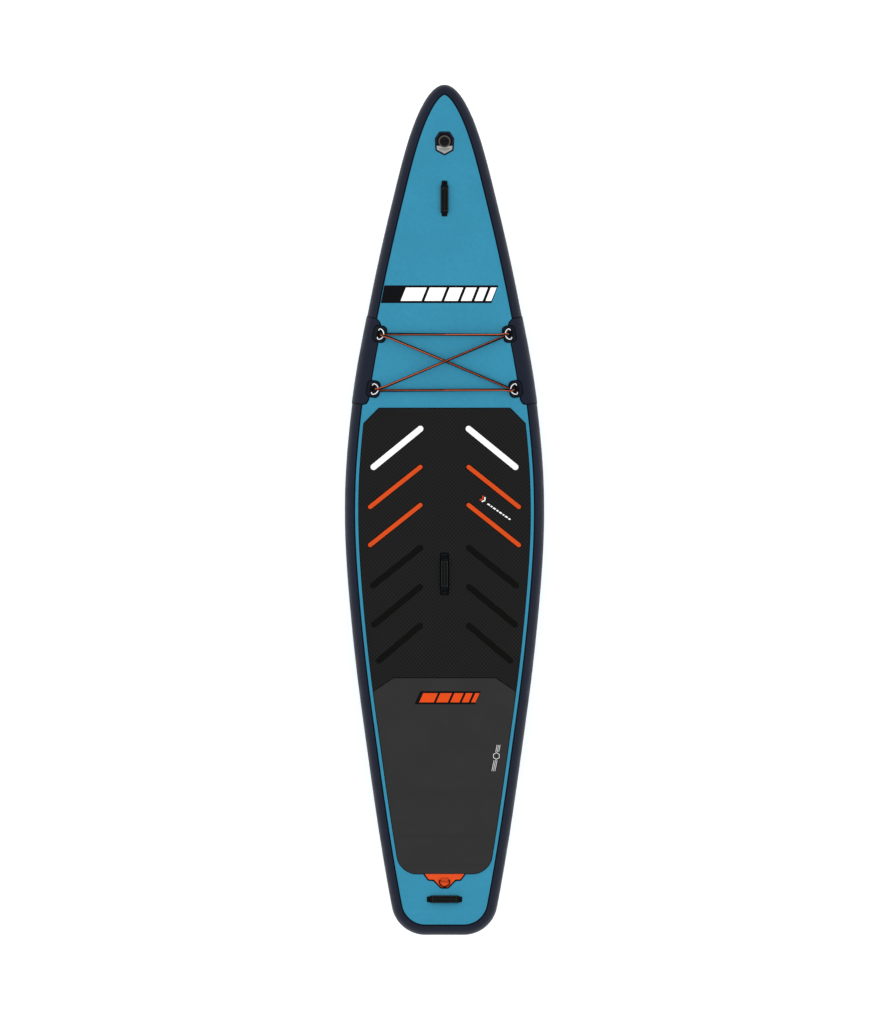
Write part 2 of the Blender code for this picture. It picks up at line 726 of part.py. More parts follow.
def build_bungee_rings(finishes):
    for name, (x, y) in BUNGEE_RINGS.items():
        frame = ring_frame(x, y, 0.0)
        centre = 0.004  # from the bar to the middle of the patch
        plan = in_plan(frame, [(u + centre, v) for u, v in rounded_rectangle(0.0290, 0.0360, 0.0200, 4)])
        grid = [(u, v) for u in (-0.013, 0.003, 0.019) for v in (-0.024, -0.008, 0.008, 0.024)]
        patch = laid_sheet(f"bungee_patch_{name}", plan, RING_PATCH_BASE, RING_PATCH, finishes["patch_black"],
                           extra=in_plan(frame, grid))
        bar = ring_frame(x, y, RING_PATCH_BASE + RING_PATCH + RING_LIFT)
        tab, tunnel = ring_tab(f"bungee_tab_{name}_guide", finishes["patch_black"], bar, 0.0135)
        combine(patch, tab, "UNION")
        combine(patch, tunnel, "DIFFERENCE")
        bow = ring_points(BUNGEE_RING_TILT)
        wire(f"bungee_ring_{name}", bow, RING_WIRE_R, finishes["steel"], 1, True, bar)


def bungee_route():
    """Middle line of the one closed elastic cord: over each ring's bow, down through it, back underneath."""
    order = ("front_right", "rear_left", "rear_right", "front_left")
    crossings = {"front_right": 0.0080, "rear_right": -0.0045}  # where the two long strands pass each other
    wrap_r = RING_WIRE_R + CORD_R + 0.0011
    half_spread = 0.0035
    stops = {}
    for name in order:
        x, y = BUNGEE_RINGS[name]
        frame = ring_frame(x, y, RING_PATCH_BASE + RING_PATCH + RING_LIFT)
        reach = Vector((RING_REACH * math.cos(BUNGEE_RING_TILT), 0, RING_REACH * math.sin(BUNGEE_RING_TILT)))
        bow = frame @ reach
        outward = Vector((-frame.col[0].x, -frame.col[0].y, 0)).normalized()
        along = Vector((-outward.y, outward.x, 0))
        stops[name] = (bow, outward, along)
    route = []
    for k, name in enumerate(order):
        bow, outward, along = stops[name]
        before, after = stops[order[k - 1]][0], stops[order[(k + 1) % 4]][0]
        side = math.copysign(1, (before - after).dot(along))
        for deg in (90, 45, 0, -45, -90):
            a = math.radians(deg)
            lifted = outward * wrap_r * math.cos(a) + Vector((0, 0, wrap_r * math.sin(a)))
            route.append(bow + lifted + along * side * half_spread * deg / 90)
        # the strand that leaves this ring from underneath, clear of its patch until it is over the flat deck
        start, target = route[-1], stops[order[(k + 1) % 4]][0] + Vector((0, 0, wrap_r))
        way = target - start
        for share in (0.10, 0.5, 0.90):
            hump = crossings.get(name, 0.0) * math.sin(math.pi * share)
            route.append(start + way * share + Vector((0, 0, hump)))
    return route


def build_leash_point(finishes):
    patch_thickness, tab_gap = 0.0016, 0.0003
    half = [(0.088, PAD_TAIL_Y - 0.001), (0.0674, -1.529), (0.0468, -1.529), (0.0155, -1.561)]
    orange = finishes["leash_orange"]
    middle = [(0.0, -1.512), (0.0, -1.54)]
    laid_sheet("leash_patch", half + mirrored(half), GAP, patch_thickness, orange, extra=middle)
    lift = GAP + patch_thickness + tab_gap + RING_LIFT
    bar = frame_on(0, LEASH_RING_Y, 1, -math.pi / 2) @ Matrix.Translation((0, 0, lift))
    tab, tunnel = ring_tab("leash_tab", orange, bar, 0.0150)
    combine(tab, tunnel, "DIFFERENCE")
    tab.data.transform(Matrix.Translation((0, 0, TAB_SINK + 0.0001)))  # this tab lies on its patch, not in it
    wire("leash_ring", ring_points(0.0), RING_WIRE_R, finishes["steel"], 1, True, bar)


# ---------------------------------------------------------------- handles
def build_handle(name, spec, finishes):
    (x, y), turn, length, grip_length, grip_width = spec
    place = frame_on(x, y, 1, turn)
    base, base_thickness = 0.0006, 0.0012
    webbing_low = base + base_thickness + 0.0003
    half, rise = length / 2, 0.0145
    pad_half = half - 0.002
    plan = in_plan(place, rounded_rectangle(WEBBING_WIDTH / 2 + 0.001, pad_half + 0.001, 0.004, 2))
    middle_line = in_plan(place, [(0, k * half / 3) for k in (-2, -1, 0, 1, 2)])
    laid_sheet(name + "_base", plan, base, base_thickness, finishes["patch_black"], extra=middle_line)

    # the webbing lies flat at its sewn ends and arches up through the grip
    foot, level = half - 0.008, grip_length / 2 + 0.0008
    lower = [(-pad_half, webbing_low), (-foot, webbing_low), (-level, rise), (level, rise),
             (foot, webbing_low), (pad_half, webbing_low)]
    lower = [(a, b + 0.0004 * (1 if abs(a) > foot - 0.001 else 0)) for a, b in lower]
    upper = [(a, b + WEBBING) for a, b in reversed(lower)]
    turn_profile = place @ Matrix.Rotation(math.pi / 2, 4, "Z")
    prism(name + "_webbing", lower + upper, WEBBING_WIDTH / 2, finishes["webbing"], turn_profile)

    # padded sleeve round the webbing: outer rounded loop and inner flat tunnel, drawn in at both ends
    sleeve_h = 0.0052
    middle = rise + WEBBING / 2
    outer = [(px, pz) for px, pz in rounded_rectangle(grip_width / 2, sleeve_h, 0.0042, 2)]
    inner = rounded_rectangle(WEBBING_WIDTH / 2 + 0.0006, WEBBING / 2 + 0.0006, 0.0004, 2)
    rows = []
    for share, shrink in ((-1.0, 0.80), (-0.93, 1.0), (0.93, 1.0), (1.0, 0.80)):
        depth = share * grip_length / 2
        narrow = grip_width / 2 * (1 - shrink) * 0.30
        drawn_in = [(px - math.copysign(narrow, px), pz * shrink) for px, pz in outer]
        rows.append([Vector((px, depth, middle + pz)) for px, pz in drawn_in])
    for share in (1.0, -1.0):
        rows.append([Vector((px, share * grip_length / 2, middle + pz)) for px, pz in inner])
    count = len(outer)
    verts = [p for row in rows for p in row]
    faces = strips(len(rows), count, True)
    last = (len(rows) - 1) * count
    faces += [[last + k, last + (k + 1) % count, (k + 1) % count, k] for k in range(count)]
    make_object(name + "_grip", verts, faces, finishes["neoprene"], place)


# ---------------------------------------------------------------- valve
def build_valve(finishes):
    place = frame_on(0, VALVE_Y)
    y = VALVE_Y
    shield = [(0.0215, 0.0396), (0.0405, 0.0110), (0.0375, -0.0396), (0.0, -0.0598)]
    left = [(-px, py) for px, py in reversed(shield[:3])]
    outline = [(px, y + py) for px, py in shield + left]
    field = [(0.0180, 0.0335), (0.0335, 0.0095), (0.0310, -0.0355), (0.0, -0.0520)]
    field_left = [(-px, py) for px, py in reversed(field[:3])]
    label = [(px, y + py) for px, py in field + field_left]
    hole = [(px, y + py) for px, py in arc((0, 0), 0.0178, 0, 342, 19)]
    flange_hole = [(px, y + py) for px, py in arc((0, 0), 0.0258, 0, 345, 23)]
    more = [(sx * 0.028, y + py) for sx in (-1, 1) for py in (-0.028, 0.0, 0.025)]
    laid_sheet("valve_patch", outline, GAP, 0.0016, finishes["rail_navy"], holes=[hole], extra=more)
    laid_sheet("valve_label", label, 0.0023, 0.0005, finishes["label_grey"], holes=[flange_hole])

    # body: flange on the deck, barrel through it, inner web for the spring and a seat at the bottom
    bore, barrel, web_r = 0.0140, 0.0170, 0.0034
    flange_top, flange_low = 0.0054, 0.0024
    body = lathe(
        "valve_body",
        [(bore, flange_top - 0.0008), (bore + 0.0008, flange_top), (0.0240, flange_top),
         (0.0250, flange_top - 0.001), (0.0250, flange_low), (barrel, flange_low), (barrel, -0.0380),
         (0.0100, -0.0380), (0.0100, -0.0350), (bore, -0.0345), (bore, -0.0330), (web_r, -0.0330),
         (web_r, -0.0300), (bore, -0.0300)],
        20, finishes["valve_grey"], place)
    for k in range(4):
        a = math.pi / 4 + k * math.pi / 2
        spot = place @ Matrix.Translation((0.0088 * math.cos(a), 0.0088 * math.sin(a), -0.0315))
        window = lathe(f"valve_window_guide_{k}", rod(0.0036, -0.003, 0.003), 8, finishes["valve_grey"], spot)
        combine(body, window, "DIFFERENCE")
    lathe("valve_nut",
          [(0.0173, -0.0032), (0.0260, -0.0032), (0.0260, -0.0090), (0.0245, -0.0100), (0.0173, -0.0100)],
          20, finishes["valve_grey"], place)
    lathe("valve_stem",
          [(0, -0.0075), (0.0040, -0.0075), (0.0048, -0.0085), (0.0048, -0.0100), (0.0026, -0.0105),
           (0.0026, -0.0384), (0.0125, -0.0384), (0.0125, -0.0410), (0, -0.0410)],
          14, finishes["valve_black"], place)
    turns, per_turn, spring_low, spring_high = 4, 9, -0.0290, -0.0114
    coil = []
    for k in range(turns * per_turn + 1):
        a = 2 * math.pi * k / per_turn
        height = spring_low + (spring_high - spring_low) * k / (turns * per_turn)
        coil.append((0.0042 * math.cos(a), 0.0042 * math.sin(a), height))
    wire("valve_spring", coil, 0.0005, finishes["steel"], 0, place=place)

    lathe("valve_cap_gasket", [(0.0153, 0.0057), (0.0188, 0.0057), (0.0188, 0.0069), (0.0153, 0.0069)], 20,
          finishes["valve_black"], place)
    cap = lathe(
        "valve_cap",
        [(0, 0.0140), (0.0165, 0.0140), (0.0192, 0.0125), (0.0200, 0.0072), (0.0136, 0.0072),
         (0.0136, 0.0010), (0.0116, 0.0010), (0.0116, 0.0090), (0, 0.0090)],
        20, finishes["valve_black"], place)
    grip = slab("valve_cap_grip_guide", (-0.0150, -0.0022, 0.0120), (0.0150, 0.0022, 0.0180),
                finishes["valve_black"], place)
    combine(cap, grip, "UNION")


# ---------------------------------------------------------------- fin
FIN_BOX_LIFT, FIN_BOX_HEIGHT = 0.0022, 0.0300
FIN_TOP = FIN_BOX_LIFT + FIN_BOX_HEIGHT  # where the fin box's open face is, off the underside
FIN_GROOVE = (0.0100, 0.0150)  # the groove's two walls, in from the open face
FIN_SCREW_Y, FIN_PIN_Y = 0.034, -0.094


def build_fin_box(finishes, place):
    """Fin box glued to the underside, with a slot, a groove for the pin and nut, and the groove's way in."""
    box_half, wall_half = 0.145, 0.0140
    slot_half, slot_half_width, groove_half_width = 0.128, 0.0049, 0.0075
    flange_half = 0.0020
    black = finishes["fin_black"]
    box = prism("fin_box", rounded_rectangle(0.045, 0.160, 0.030, 8), flange_half, black,
                place @ Matrix.Translation((0, 0, FIN_BOX_LIFT + flange_half)), "Z")
    half = [(wall_half * 0.55, box_half), (wall_half, box_half - 0.030), (wall_half, -box_half + 0.018),
            (wall_half * 0.5, -box_half)]
    low, half_height = FIN_BOX_LIFT + 0.001, (FIN_BOX_HEIGHT - 0.001) / 2
    walls = prism("fin_box_walls_guide", half + mirrored(half), half_height, black,
                  place @ Matrix.Translation((0, 0, low + half_height)), "Z")
    combine(box, walls, "UNION")
    upper, lower = FIN_TOP - FIN_GROOVE[1], FIN_TOP - FIN_GROOVE[0]
    clear = FIN_TOP + 0.004
    slot_low = (-slot_half_width, -slot_half, FIN_TOP - 0.0265)
    cuts = (
        ("slot", slot_low, (slot_half_width, slot_half, clear)),
        ("groove", (-groove_half_width, -slot_half, upper), (groove_half_width, slot_half, lower)),
        ("entry", (-groove_half_width, 0.052, upper), (groove_half_width, 0.070, clear)),
    )
    for label, near, far in cuts:
        combine(box, slab(f"fin_box_{label}_guide", near, far, black, place), "DIFFERENCE")


def build_centre_fin(finishes, place):
    """The fin: a flat tab in the box's slot, and a raked foil below it."""
    black = finishes["fin_black"]
    depth, rake, root, tip, lead_at_root = 0.205, 0.105, 0.140, 0.024, 0.024
    sections, per_row = 20, 20
    rows = []
    for k in range(sections + 1):
        t = math.sin(math.pi / 2 * k / sections)  # the sections crowd towards the rounded tip
        chord = tip + (root - tip) * math.sqrt(max(1 - t**2.6, 0.0))
        lead = lead_at_root - rake * t**1.7
        thick = 0.0044 * (1 - 0.62 * t)
        row = []
        for j in range(per_row):
            a = 2 * math.pi * j / per_row
            aft = (1 - math.cos(a)) / 2
            width = thick * math.sin(a) * (1 - 0.55 * aft)
            row.append(Vector((width, lead - chord * aft, FIN_TOP + 0.0010 + depth * t)))
        rows.append(row)
    verts = [p for row in rows for p in row]
    faces = strips(len(rows), per_row, True)
    faces += [list(range(per_row - 1, -1, -1)), [len(verts) - per_row + j for j in range(per_row)]]
    fin = make_object("centre_fin", verts, faces, black, place)

    tab_half, tab_front, tab_rear, into_foil = 0.0044, 0.048, -0.105, FIN_TOP + 0.0066
    tab = [(tab_rear, into_foil), (tab_rear, FIN_TOP - 0.0240), (FIN_SCREW_Y - 0.014, FIN_TOP - 0.0240),
           (FIN_SCREW_Y - 0.010, FIN_TOP - 0.0080), (tab_front, FIN_TOP - 0.0080), (tab_front, into_foil)]
    along = place @ Matrix.Rotation(math.pi / 2, 4, "Z")
    combine(fin, prism("fin_tab_guide", tab, tab_half, black, along), "UNION")
    screw_place = place @ Matrix.Translation((0, FIN_SCREW_Y, FIN_TOP))
    groove_middle = FIN_TOP - sum(FIN_GROOVE) / 2
    sideways = place @ Matrix.Translation((0, FIN_PIN_Y, groove_middle))
    sideways = sideways @ Matrix.Rotation(math.pi / 2, 4, "Y")
    bores = (
        ("fin_screw_hole_guide", rod(0.0024, -0.06, 0.06), screw_place),
        ("fin_screw_recess_guide", rod(0.0046, -0.0045, 0.06), screw_place),
        ("fin_pin_hole_guide", rod(0.0023, -0.01, 0.01), sideways),
    )
    for label, profile, where in bores:
        combine(fin, lathe(label, profile, 10, black, where), "DIFFERENCE")
    lathe("fin_pin", rod(0.0020, -0.0070, 0.0070), 10, finishes["brass"], sideways)


def build_fin(finishes):
    """Fin box, fin and their fastenings. Local +Z points down, away from the hull."""
    place = frame_on(0, FIN_BOX_Y, -1)
    patch = [(px, FIN_BOX_Y + py) for px, py in rounded_rectangle(0.060, 0.185, 0.050, 4)]
    rows = [(0.0, FIN_BOX_Y + k * 0.06) for k in (-2, -1, 0, 1, 2)]
    laid_sheet("fin_patch", patch, GAP, 0.0012, finishes["rail_navy"], side=-1, extra=rows)
    build_fin_box(finishes, place)
    build_centre_fin(finishes, place)

    screw_place = place @ Matrix.Translation((0, FIN_SCREW_Y, FIN_TOP))
    screw = lathe("fin_screw",
                  [(0, -0.0230), (0.0019, -0.0230), (0.0019, -0.0041), (0.0040, -0.0041), (0.0040, -0.0015),
                   (0.0032, -0.0009), (0, -0.0009)],
                  12, finishes["steel"], screw_place)
    for k in range(2):
        cross = screw_place @ Matrix.Rotation(k * math.pi / 2, 4, "Z")
        slot = slab(f"fin_screw_slot_guide_{k}", (-0.0026, -0.0005, -0.0024), (0.0026, 0.0005, 0.001),
                    finishes["steel"], cross)
        combine(screw, slot, "DIFFERENCE")
    near = (-0.0065, FIN_SCREW_Y - 0.0060, FIN_TOP - FIN_GROOVE[1] + 0.0005)
    far = (0.0065, FIN_SCREW_Y + 0.0060, FIN_TOP - FIN_GROOVE[0] - 0.0012)
    plate = slab("fin_nut_plate", near, far, finishes["brass"], place)
    thread = lathe("fin_nut_plate_guide", rod(0.0022, -0.05, 0.01), 10, finishes["brass"], screw_place)
    combine(plate, thread, "DIFFERENCE")


# ---------------------------------------------------------------- the board
def build_finishes():
    return {
        "deck_blue": make_material("deck_blue", (0.047, 0.283, 0.434), 0.42),
        "rail_navy": make_material("rail_navy", (0.024, 0.028, 0.043), 0.45),
        "seam_black": make_material("seam_black", (0.006, 0.010, 0.017), 0.5),
        "fabric_grey": make_material("fabric_grey", (0.30, 0.31, 0.32), 0.8),
        "yarn_white": make_material("yarn_white", (0.7, 0.7, 0.68), 0.8),
        "pad_black": make_material("pad_black", (0.0144, 0.0144, 0.0144), 0.85),
        "pad_grey": make_material("pad_grey", (0.034, 0.034, 0.034), 0.85),
        "bar_white": make_material("bar_white", (0.86, 0.86, 0.86), 0.8),
        "bar_orange": make_material("bar_orange", (0.72, 0.095, 0.022), 0.8),
        "bar_black": make_material("bar_black", (0.006, 0.006, 0.005), 0.8),
        "patch_black": make_material("patch_black", (0.010, 0.012, 0.018), 0.5),
        "leash_orange": make_material("leash_orange", (0.76, 0.10, 0.02), 0.5),
        "bungee_orange": make_material("bungee_orange", (0.62, 0.085, 0.03), 0.75),
        "webbing": make_material("webbing", (0.006, 0.007, 0.008), 0.85),
        "neoprene": make_material("neoprene", (0.010, 0.011, 0.012), 0.9),
        "steel": make_material("steel", (0.80, 0.80, 0.82), 0.25, 1.0),
        "brass": make_material("brass", (0.72, 0.52, 0.22), 0.35, 1.0),
        "valve_grey": make_material("valve_grey", (0.16, 0.16, 0.17), 0.45),
        "valve_black": make_material("valve_black", (0.010, 0.010, 0.011), 0.45),
        "label_grey": make_material("label_grey", (0.33, 0.33, 0.33), 0.5),
        "fin_black": make_material("fin_black", (0.012, 0.012, 0.013), 0.4),
    }


def build():
    clear_scene()
    finishes = build_finishes()
    drill = build_chamber(finishes)
    build_yarns(finishes["yarn_white"])
    build_skin("deck_skin", 1, finishes["deck_blue"], drill)
    build_skin("hull_skin", -1, finishes["deck_blue"])
    build_rail_bands(finishes["rail_navy"])
    build_seam_tape("deck_seam_tape", 1, finishes["seam_black"])
    build_seam_tape("hull_seam_tape", -1, finishes["seam_black"])
    build_rail_patches(finishes["rail_navy"])
    build_front_pad(finishes["pad_black"])
    build_tail_pad(finishes["pad_grey"])
    build_pad_bars(finishes)
    build_bungee_rings(finishes)
    wire("bungee_cord", bungee_route(), CORD_R, finishes["bungee_orange"], 2, True)
    build_leash_point(finishes)
    for name, spec in HANDLES.items():
        build_handle(name, spec, finishes)
    build_valve(finishes)
    build_fin(finishes)


build()
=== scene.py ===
"""Looks of the inflatable stand up paddleboard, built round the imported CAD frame.

Fine skins, foam pads, webbing, cord and fittings are laid on the same surface as the CAD:
a slab whose edge is a half round, bent upwards towards the nose and the tail.
Everything is in metres, in the frame's own axes. The dimensions repeat the CAD's.
"""

import json
import math

import bmesh
import bpy
import numpy as np
from mathutils import Matrix, Vector

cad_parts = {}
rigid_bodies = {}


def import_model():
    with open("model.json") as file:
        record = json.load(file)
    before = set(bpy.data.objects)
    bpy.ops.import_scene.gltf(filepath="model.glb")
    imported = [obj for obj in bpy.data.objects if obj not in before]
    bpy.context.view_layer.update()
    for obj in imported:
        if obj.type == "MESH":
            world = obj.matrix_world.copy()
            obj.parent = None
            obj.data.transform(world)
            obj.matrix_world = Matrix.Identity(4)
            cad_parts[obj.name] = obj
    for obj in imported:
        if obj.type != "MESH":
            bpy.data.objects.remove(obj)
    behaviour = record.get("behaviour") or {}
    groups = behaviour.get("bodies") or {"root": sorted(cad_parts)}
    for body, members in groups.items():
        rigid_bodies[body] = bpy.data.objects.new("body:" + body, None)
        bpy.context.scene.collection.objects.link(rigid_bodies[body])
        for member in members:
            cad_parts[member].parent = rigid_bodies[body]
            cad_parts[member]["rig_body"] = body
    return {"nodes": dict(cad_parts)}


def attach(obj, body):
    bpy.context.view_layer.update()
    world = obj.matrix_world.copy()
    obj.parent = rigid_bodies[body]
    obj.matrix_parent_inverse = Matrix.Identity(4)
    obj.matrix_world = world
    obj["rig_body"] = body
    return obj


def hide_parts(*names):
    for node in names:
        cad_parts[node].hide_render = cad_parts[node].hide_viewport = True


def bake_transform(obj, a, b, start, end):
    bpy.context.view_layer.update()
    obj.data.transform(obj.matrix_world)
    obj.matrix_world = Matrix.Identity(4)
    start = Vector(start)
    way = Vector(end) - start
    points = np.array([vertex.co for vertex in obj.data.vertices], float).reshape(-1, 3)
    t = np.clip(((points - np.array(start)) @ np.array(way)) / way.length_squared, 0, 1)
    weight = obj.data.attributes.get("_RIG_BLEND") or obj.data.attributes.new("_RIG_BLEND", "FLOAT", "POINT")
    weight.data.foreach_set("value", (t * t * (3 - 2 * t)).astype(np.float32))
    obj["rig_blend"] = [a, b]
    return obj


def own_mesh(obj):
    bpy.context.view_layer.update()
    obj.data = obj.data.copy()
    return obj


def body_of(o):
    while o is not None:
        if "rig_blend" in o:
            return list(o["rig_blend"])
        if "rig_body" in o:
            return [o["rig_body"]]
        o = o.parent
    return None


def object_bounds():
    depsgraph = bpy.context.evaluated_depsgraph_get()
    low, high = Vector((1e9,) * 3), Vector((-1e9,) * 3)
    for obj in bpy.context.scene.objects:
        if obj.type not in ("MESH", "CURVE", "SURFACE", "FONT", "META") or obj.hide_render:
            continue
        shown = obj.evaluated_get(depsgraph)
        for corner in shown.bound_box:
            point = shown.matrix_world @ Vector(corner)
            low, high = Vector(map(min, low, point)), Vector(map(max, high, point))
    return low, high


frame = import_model()
cad_low, cad_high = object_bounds()

# ---------------------------------------------------------------- the board's driving dimensions
LENGTH = 3.505
THICKNESS = 0.150
RAIL_R = THICKNESS / 2
NOSE_RISE, NOSE_RISE_FROM, NOSE_RISE_POWER = 0.165, 0.45, 2.2
TAIL_RISE, TAIL_RISE_FROM, TAIL_RISE_POWER = 0.025, -0.95, 2.0
TAIL_CORNER_R = 0.140
HALF_OUTLINE = (
    (0.000, 0.000),
    (0.170, 0.129),
    (0.500, 0.220),
    (0.900, 0.308),
    (1.250, 0.372),
    (1.550, 0.404),
    (1.775, 0.411),
    (2.000, 0.402),
    (2.350, 0.370),
    (2.750, 0.318),
    (3.100, 0.267),
    (3.400, 0.215),
)
SKIN = 0.0009
THETA_SEAM = math.acos((RAIL_R - 0.040) / RAIL_R)
TAPE_WIDTH, TAPE_BASE, TAPE = 0.0065, 0.0002, 0.0007
RAIL_PATCH_BASE, RAIL_PATCH = 0.0009, 0.0007
PAD_INSET, PAD_TOP, PAD_FLOOR = 0.058, 0.0056, 0.0011
PAD_SHEET_BASE, PAD_SHEET_TOP = 0.0002, 0.0010
BAR_TOP = 0.0048

BUNGEE_RINGS = {
    "front_right": (0.2715, 0.7255),
    "rear_left": (-0.2980, 0.4985),
    "rear_right": (0.2980, 0.4985),
    "front_left": (-0.2715, 0.7255),
}
RING_LIFT, RING_PATCH_BASE, RING_PATCH = 0.0034, 0.0034, 0.0015
RING_WIRE_R, RING_WIDTH, RING_REACH = 0.0025, 0.0430, 0.0275
BUNGEE_RING_TILT = math.radians(25)
WEBBING_TAB = 0.0013
CORD_R = 0.0050
LEASH_RING_Y, VALVE_Y = -1.5265, 1.5196
LEASH_RING_LIFT = 0.0004 + 0.0016 + 0.0003 + RING_LIFT
HANDLES = {
    "nose_handle": ((0.0, 1.2830), 0.0, 0.152, 0.118, 0.033),
    "centre_handle": ((0.0, -0.2644), 0.0, 0.168, 0.124, 0.030),
    "tail_handle": ((0.0, -1.6060), math.pi / 2, 0.148, 0.120, 0.032),
}
HANDLE_RISE, WEBBING_WIDTH, WEBBING = 0.0145, 0.0220, 0.0020

PAD_BARS = (
    ((0.0995, 0.3337), (0.2925, 0.1762), 0.0250, 0.0260, "white"),
    ((0.0995, 0.1762), (0.3065, 0.0117), 0.0180, 0.0240, "orange"),
    ((0.0995, 0.0192), (0.3065, -0.1453), 0.0180, 0.0240, "orange"),
    ((0.1005, -0.1577), (0.2950, -0.3120), 0.0240, 0.0250, "black"),
    ((0.1005, -0.3180), (0.2900, -0.4734), 0.0240, 0.0250, "black"),
    ((0.1005, -0.4780), (0.2700, -0.6215), 0.0240, 0.0250, "black"),
)
PAD_FRONT_Y, PAD_FRONT_HALF, PAD_CHAMFER_Y = 0.418, 0.270, 0.356
PAD_JOINT_Y, PAD_JOINT_HALF, PAD_JOINT_SIDE_Y, PAD_SEAM = -0.693, 0.211, -0.748, 0.003
PAD_TAIL_Y, PAD_TAIL_CORNER_R = -1.500, 0.066
SIDES = (("right", 1), ("left", -1))


# ---------------------------------------------------------------- the board's surface
def unit(rows):
    return rows / np.linalg.norm(rows, axis=1)[:, None]


def gone_along(points):
    """How far along a line each of its points is."""
    return np.concatenate([[0], np.cumsum(np.linalg.norm(np.diff(points, axis=0), axis=1))])


def half_width(s):
    """Half width at a distance behind the nose tip.

    Half width squared is interpolated, which rounds the nose.
    """
    xs = np.array([p[0] for p in HALF_OUTLINE])
    ys = np.array([p[1] ** 2 for p in HALF_OUTLINE])
    slopes = np.empty_like(ys)
    slopes[1:-1] = (ys[2:] - ys[:-2]) / (xs[2:] - xs[:-2])
    slopes[0] = (ys[1] - ys[0]) / (xs[1] - xs[0])
    slopes[-1] = (ys[-1] - ys[-2]) / (xs[-1] - xs[-2])
    i = np.clip(np.searchsorted(xs, s, side="right") - 1, 0, len(xs) - 2)
    h = xs[i + 1] - xs[i]
    t = (s - xs[i]) / h
    cubic = (2 * t**3 - 3 * t**2 + 1) * ys[i] + (t**3 - 2 * t**2 + t) * h * slopes[i]
    cubic = cubic + (3 * t**2 - 2 * t**3) * ys[i + 1] + (t**3 - t**2) * h * slopes[i + 1]
    return np.sqrt(np.maximum(cubic, 0.0))


def half_outline(samples, corner_samples):
    """Plan points from the nose tip down the right side to the flat tail edge, and inward normals."""
    end, step = HALF_OUTLINE[-1][0], 0.02
    slope = float(half_width(end) - half_width(end - step)) / step
    lean = math.atan(-slope)
    centre_s = LENGTH - TAIL_CORNER_R
    side = float(half_width(end)) + slope * (centre_s - end)
    centre_w = side - TAIL_CORNER_R * math.sqrt(1 + slope**2)
    start = centre_s + TAIL_CORNER_R * math.sin(lean)
    s = start * (np.arange(samples) / samples) ** 2
    straight = np.where(s > end, half_width(end) + slope * (s - end), half_width(s))
    a = np.linspace(lean, math.pi / 2, corner_samples + 1)
    x = np.concatenate([straight, centre_w + TAIL_CORNER_R * np.cos(a)])
    y = LENGTH / 2 - np.concatenate([s, centre_s + TAIL_CORNER_R * np.sin(a)])
    line = np.stack([x, y], axis=1)
    tangent = unit(np.gradient(line, axis=0))
    tangent[0], tangent[-1] = (1, 0), (-1, 0)
    return line, np.stack([tangent[:, 1], -tangent[:, 0]], axis=1)


LINE, LINE_NORMAL = half_outline(300, 26)
DENSE, DENSE_NORMAL = half_outline(1100, 110)


def rocker(y):
    y = np.asarray(y, float)
    nose = np.clip((y - NOSE_RISE_FROM) / (LENGTH / 2 - NOSE_RISE_FROM), 0, None)
    tail = np.clip((TAIL_RISE_FROM - y) / (TAIL_RISE_FROM + LENGTH / 2), 0, None)
    return NOSE_RISE * nose**NOSE_RISE_POWER + TAIL_RISE * tail**TAIL_RISE_POWER


def inset_of(x, y):
    """Distance of plan points inside the outline or the flat tail edge. Outside, it is negative."""
    x, y = np.abs(np.asarray(x, float)), np.asarray(y, float)
    flat_x, flat_y = np.atleast_1d(x).ravel(), np.atleast_1d(y).ravel()
    best = np.empty(len(flat_x))
    block = 4000
    for first in range(0, len(flat_x), block):
        part = slice(first, first + block)
        gaps = np.hypot(DENSE[:, 0] - flat_x[part, None], DENSE[:, 1] - flat_y[part, None])
        nearest = gaps.argmin(axis=1)
        offset = np.stack([flat_x[part], flat_y[part]], 1) - DENSE[nearest]
        best[part] = (offset * DENSE_NORMAL[nearest]).sum(axis=1)
    best = best.reshape(np.shape(np.atleast_1d(x)))
    best = np.where(np.atleast_1d(x) < DENSE[-1][0], np.minimum(best, y + LENGTH / 2), best)
    return best if np.ndim(x) else float(best[0])


def surface(x, y):
    """Height of the deck."""
    inset = np.clip(inset_of(x, y), 0, RAIL_R)
    return RAIL_R + np.sqrt(RAIL_R**2 - (RAIL_R - inset) ** 2) + rocker(y)


def laid(plan, height):
    """Points of a plan outline, lifted off the deck."""
    plan = np.asarray(plan, float)
    return np.column_stack([plan, surface(plan[:, 0], plan[:, 1]) + height])


def half_ring(theta, depth):
    """Right half of the level line at an angle above the rail's widest line, depth inside the surface."""
    r = RAIL_R - depth
    plan = LINE + LINE_NORMAL * (RAIL_R - r * math.cos(theta))
    if plan[1][0] < 0:
        first = int(np.argmax(plan[:, 0] > 0.0005))
        low, high = plan[first - 1], plan[first]
        share = -low[0] / (high[0] - low[0])
        plan[:first] = (0.0, low[1] + share * (high[1] - low[1]))
    return np.column_stack([plan, RAIL_R + r * math.sin(theta) + rocker(plan[:, 1])])


def whole_ring(theta, depth):
    right = half_ring(theta, depth)
    left = right[:0:-1] * (-1, 1, 1)
    return np.vstack([right, left])


def frame_on(x, y, turn=0.0):
    """Origin on the deck, local +Z off it, local +Y towards the nose before the turn."""
    slope = float(rocker(y + 0.001) - rocker(y - 0.001)) / 0.002
    up = Vector((0.0, -slope, 1.0)).normalized()
    ahead = Vector((0.0, 1.0, slope)).normalized()
    turned = Matrix((ahead.cross(up), ahead, up)).transposed().to_4x4()
    return Matrix.Translation((x, y, surface(x, y))) @ turned @ Matrix.Rotation(turn, 4, "Z")


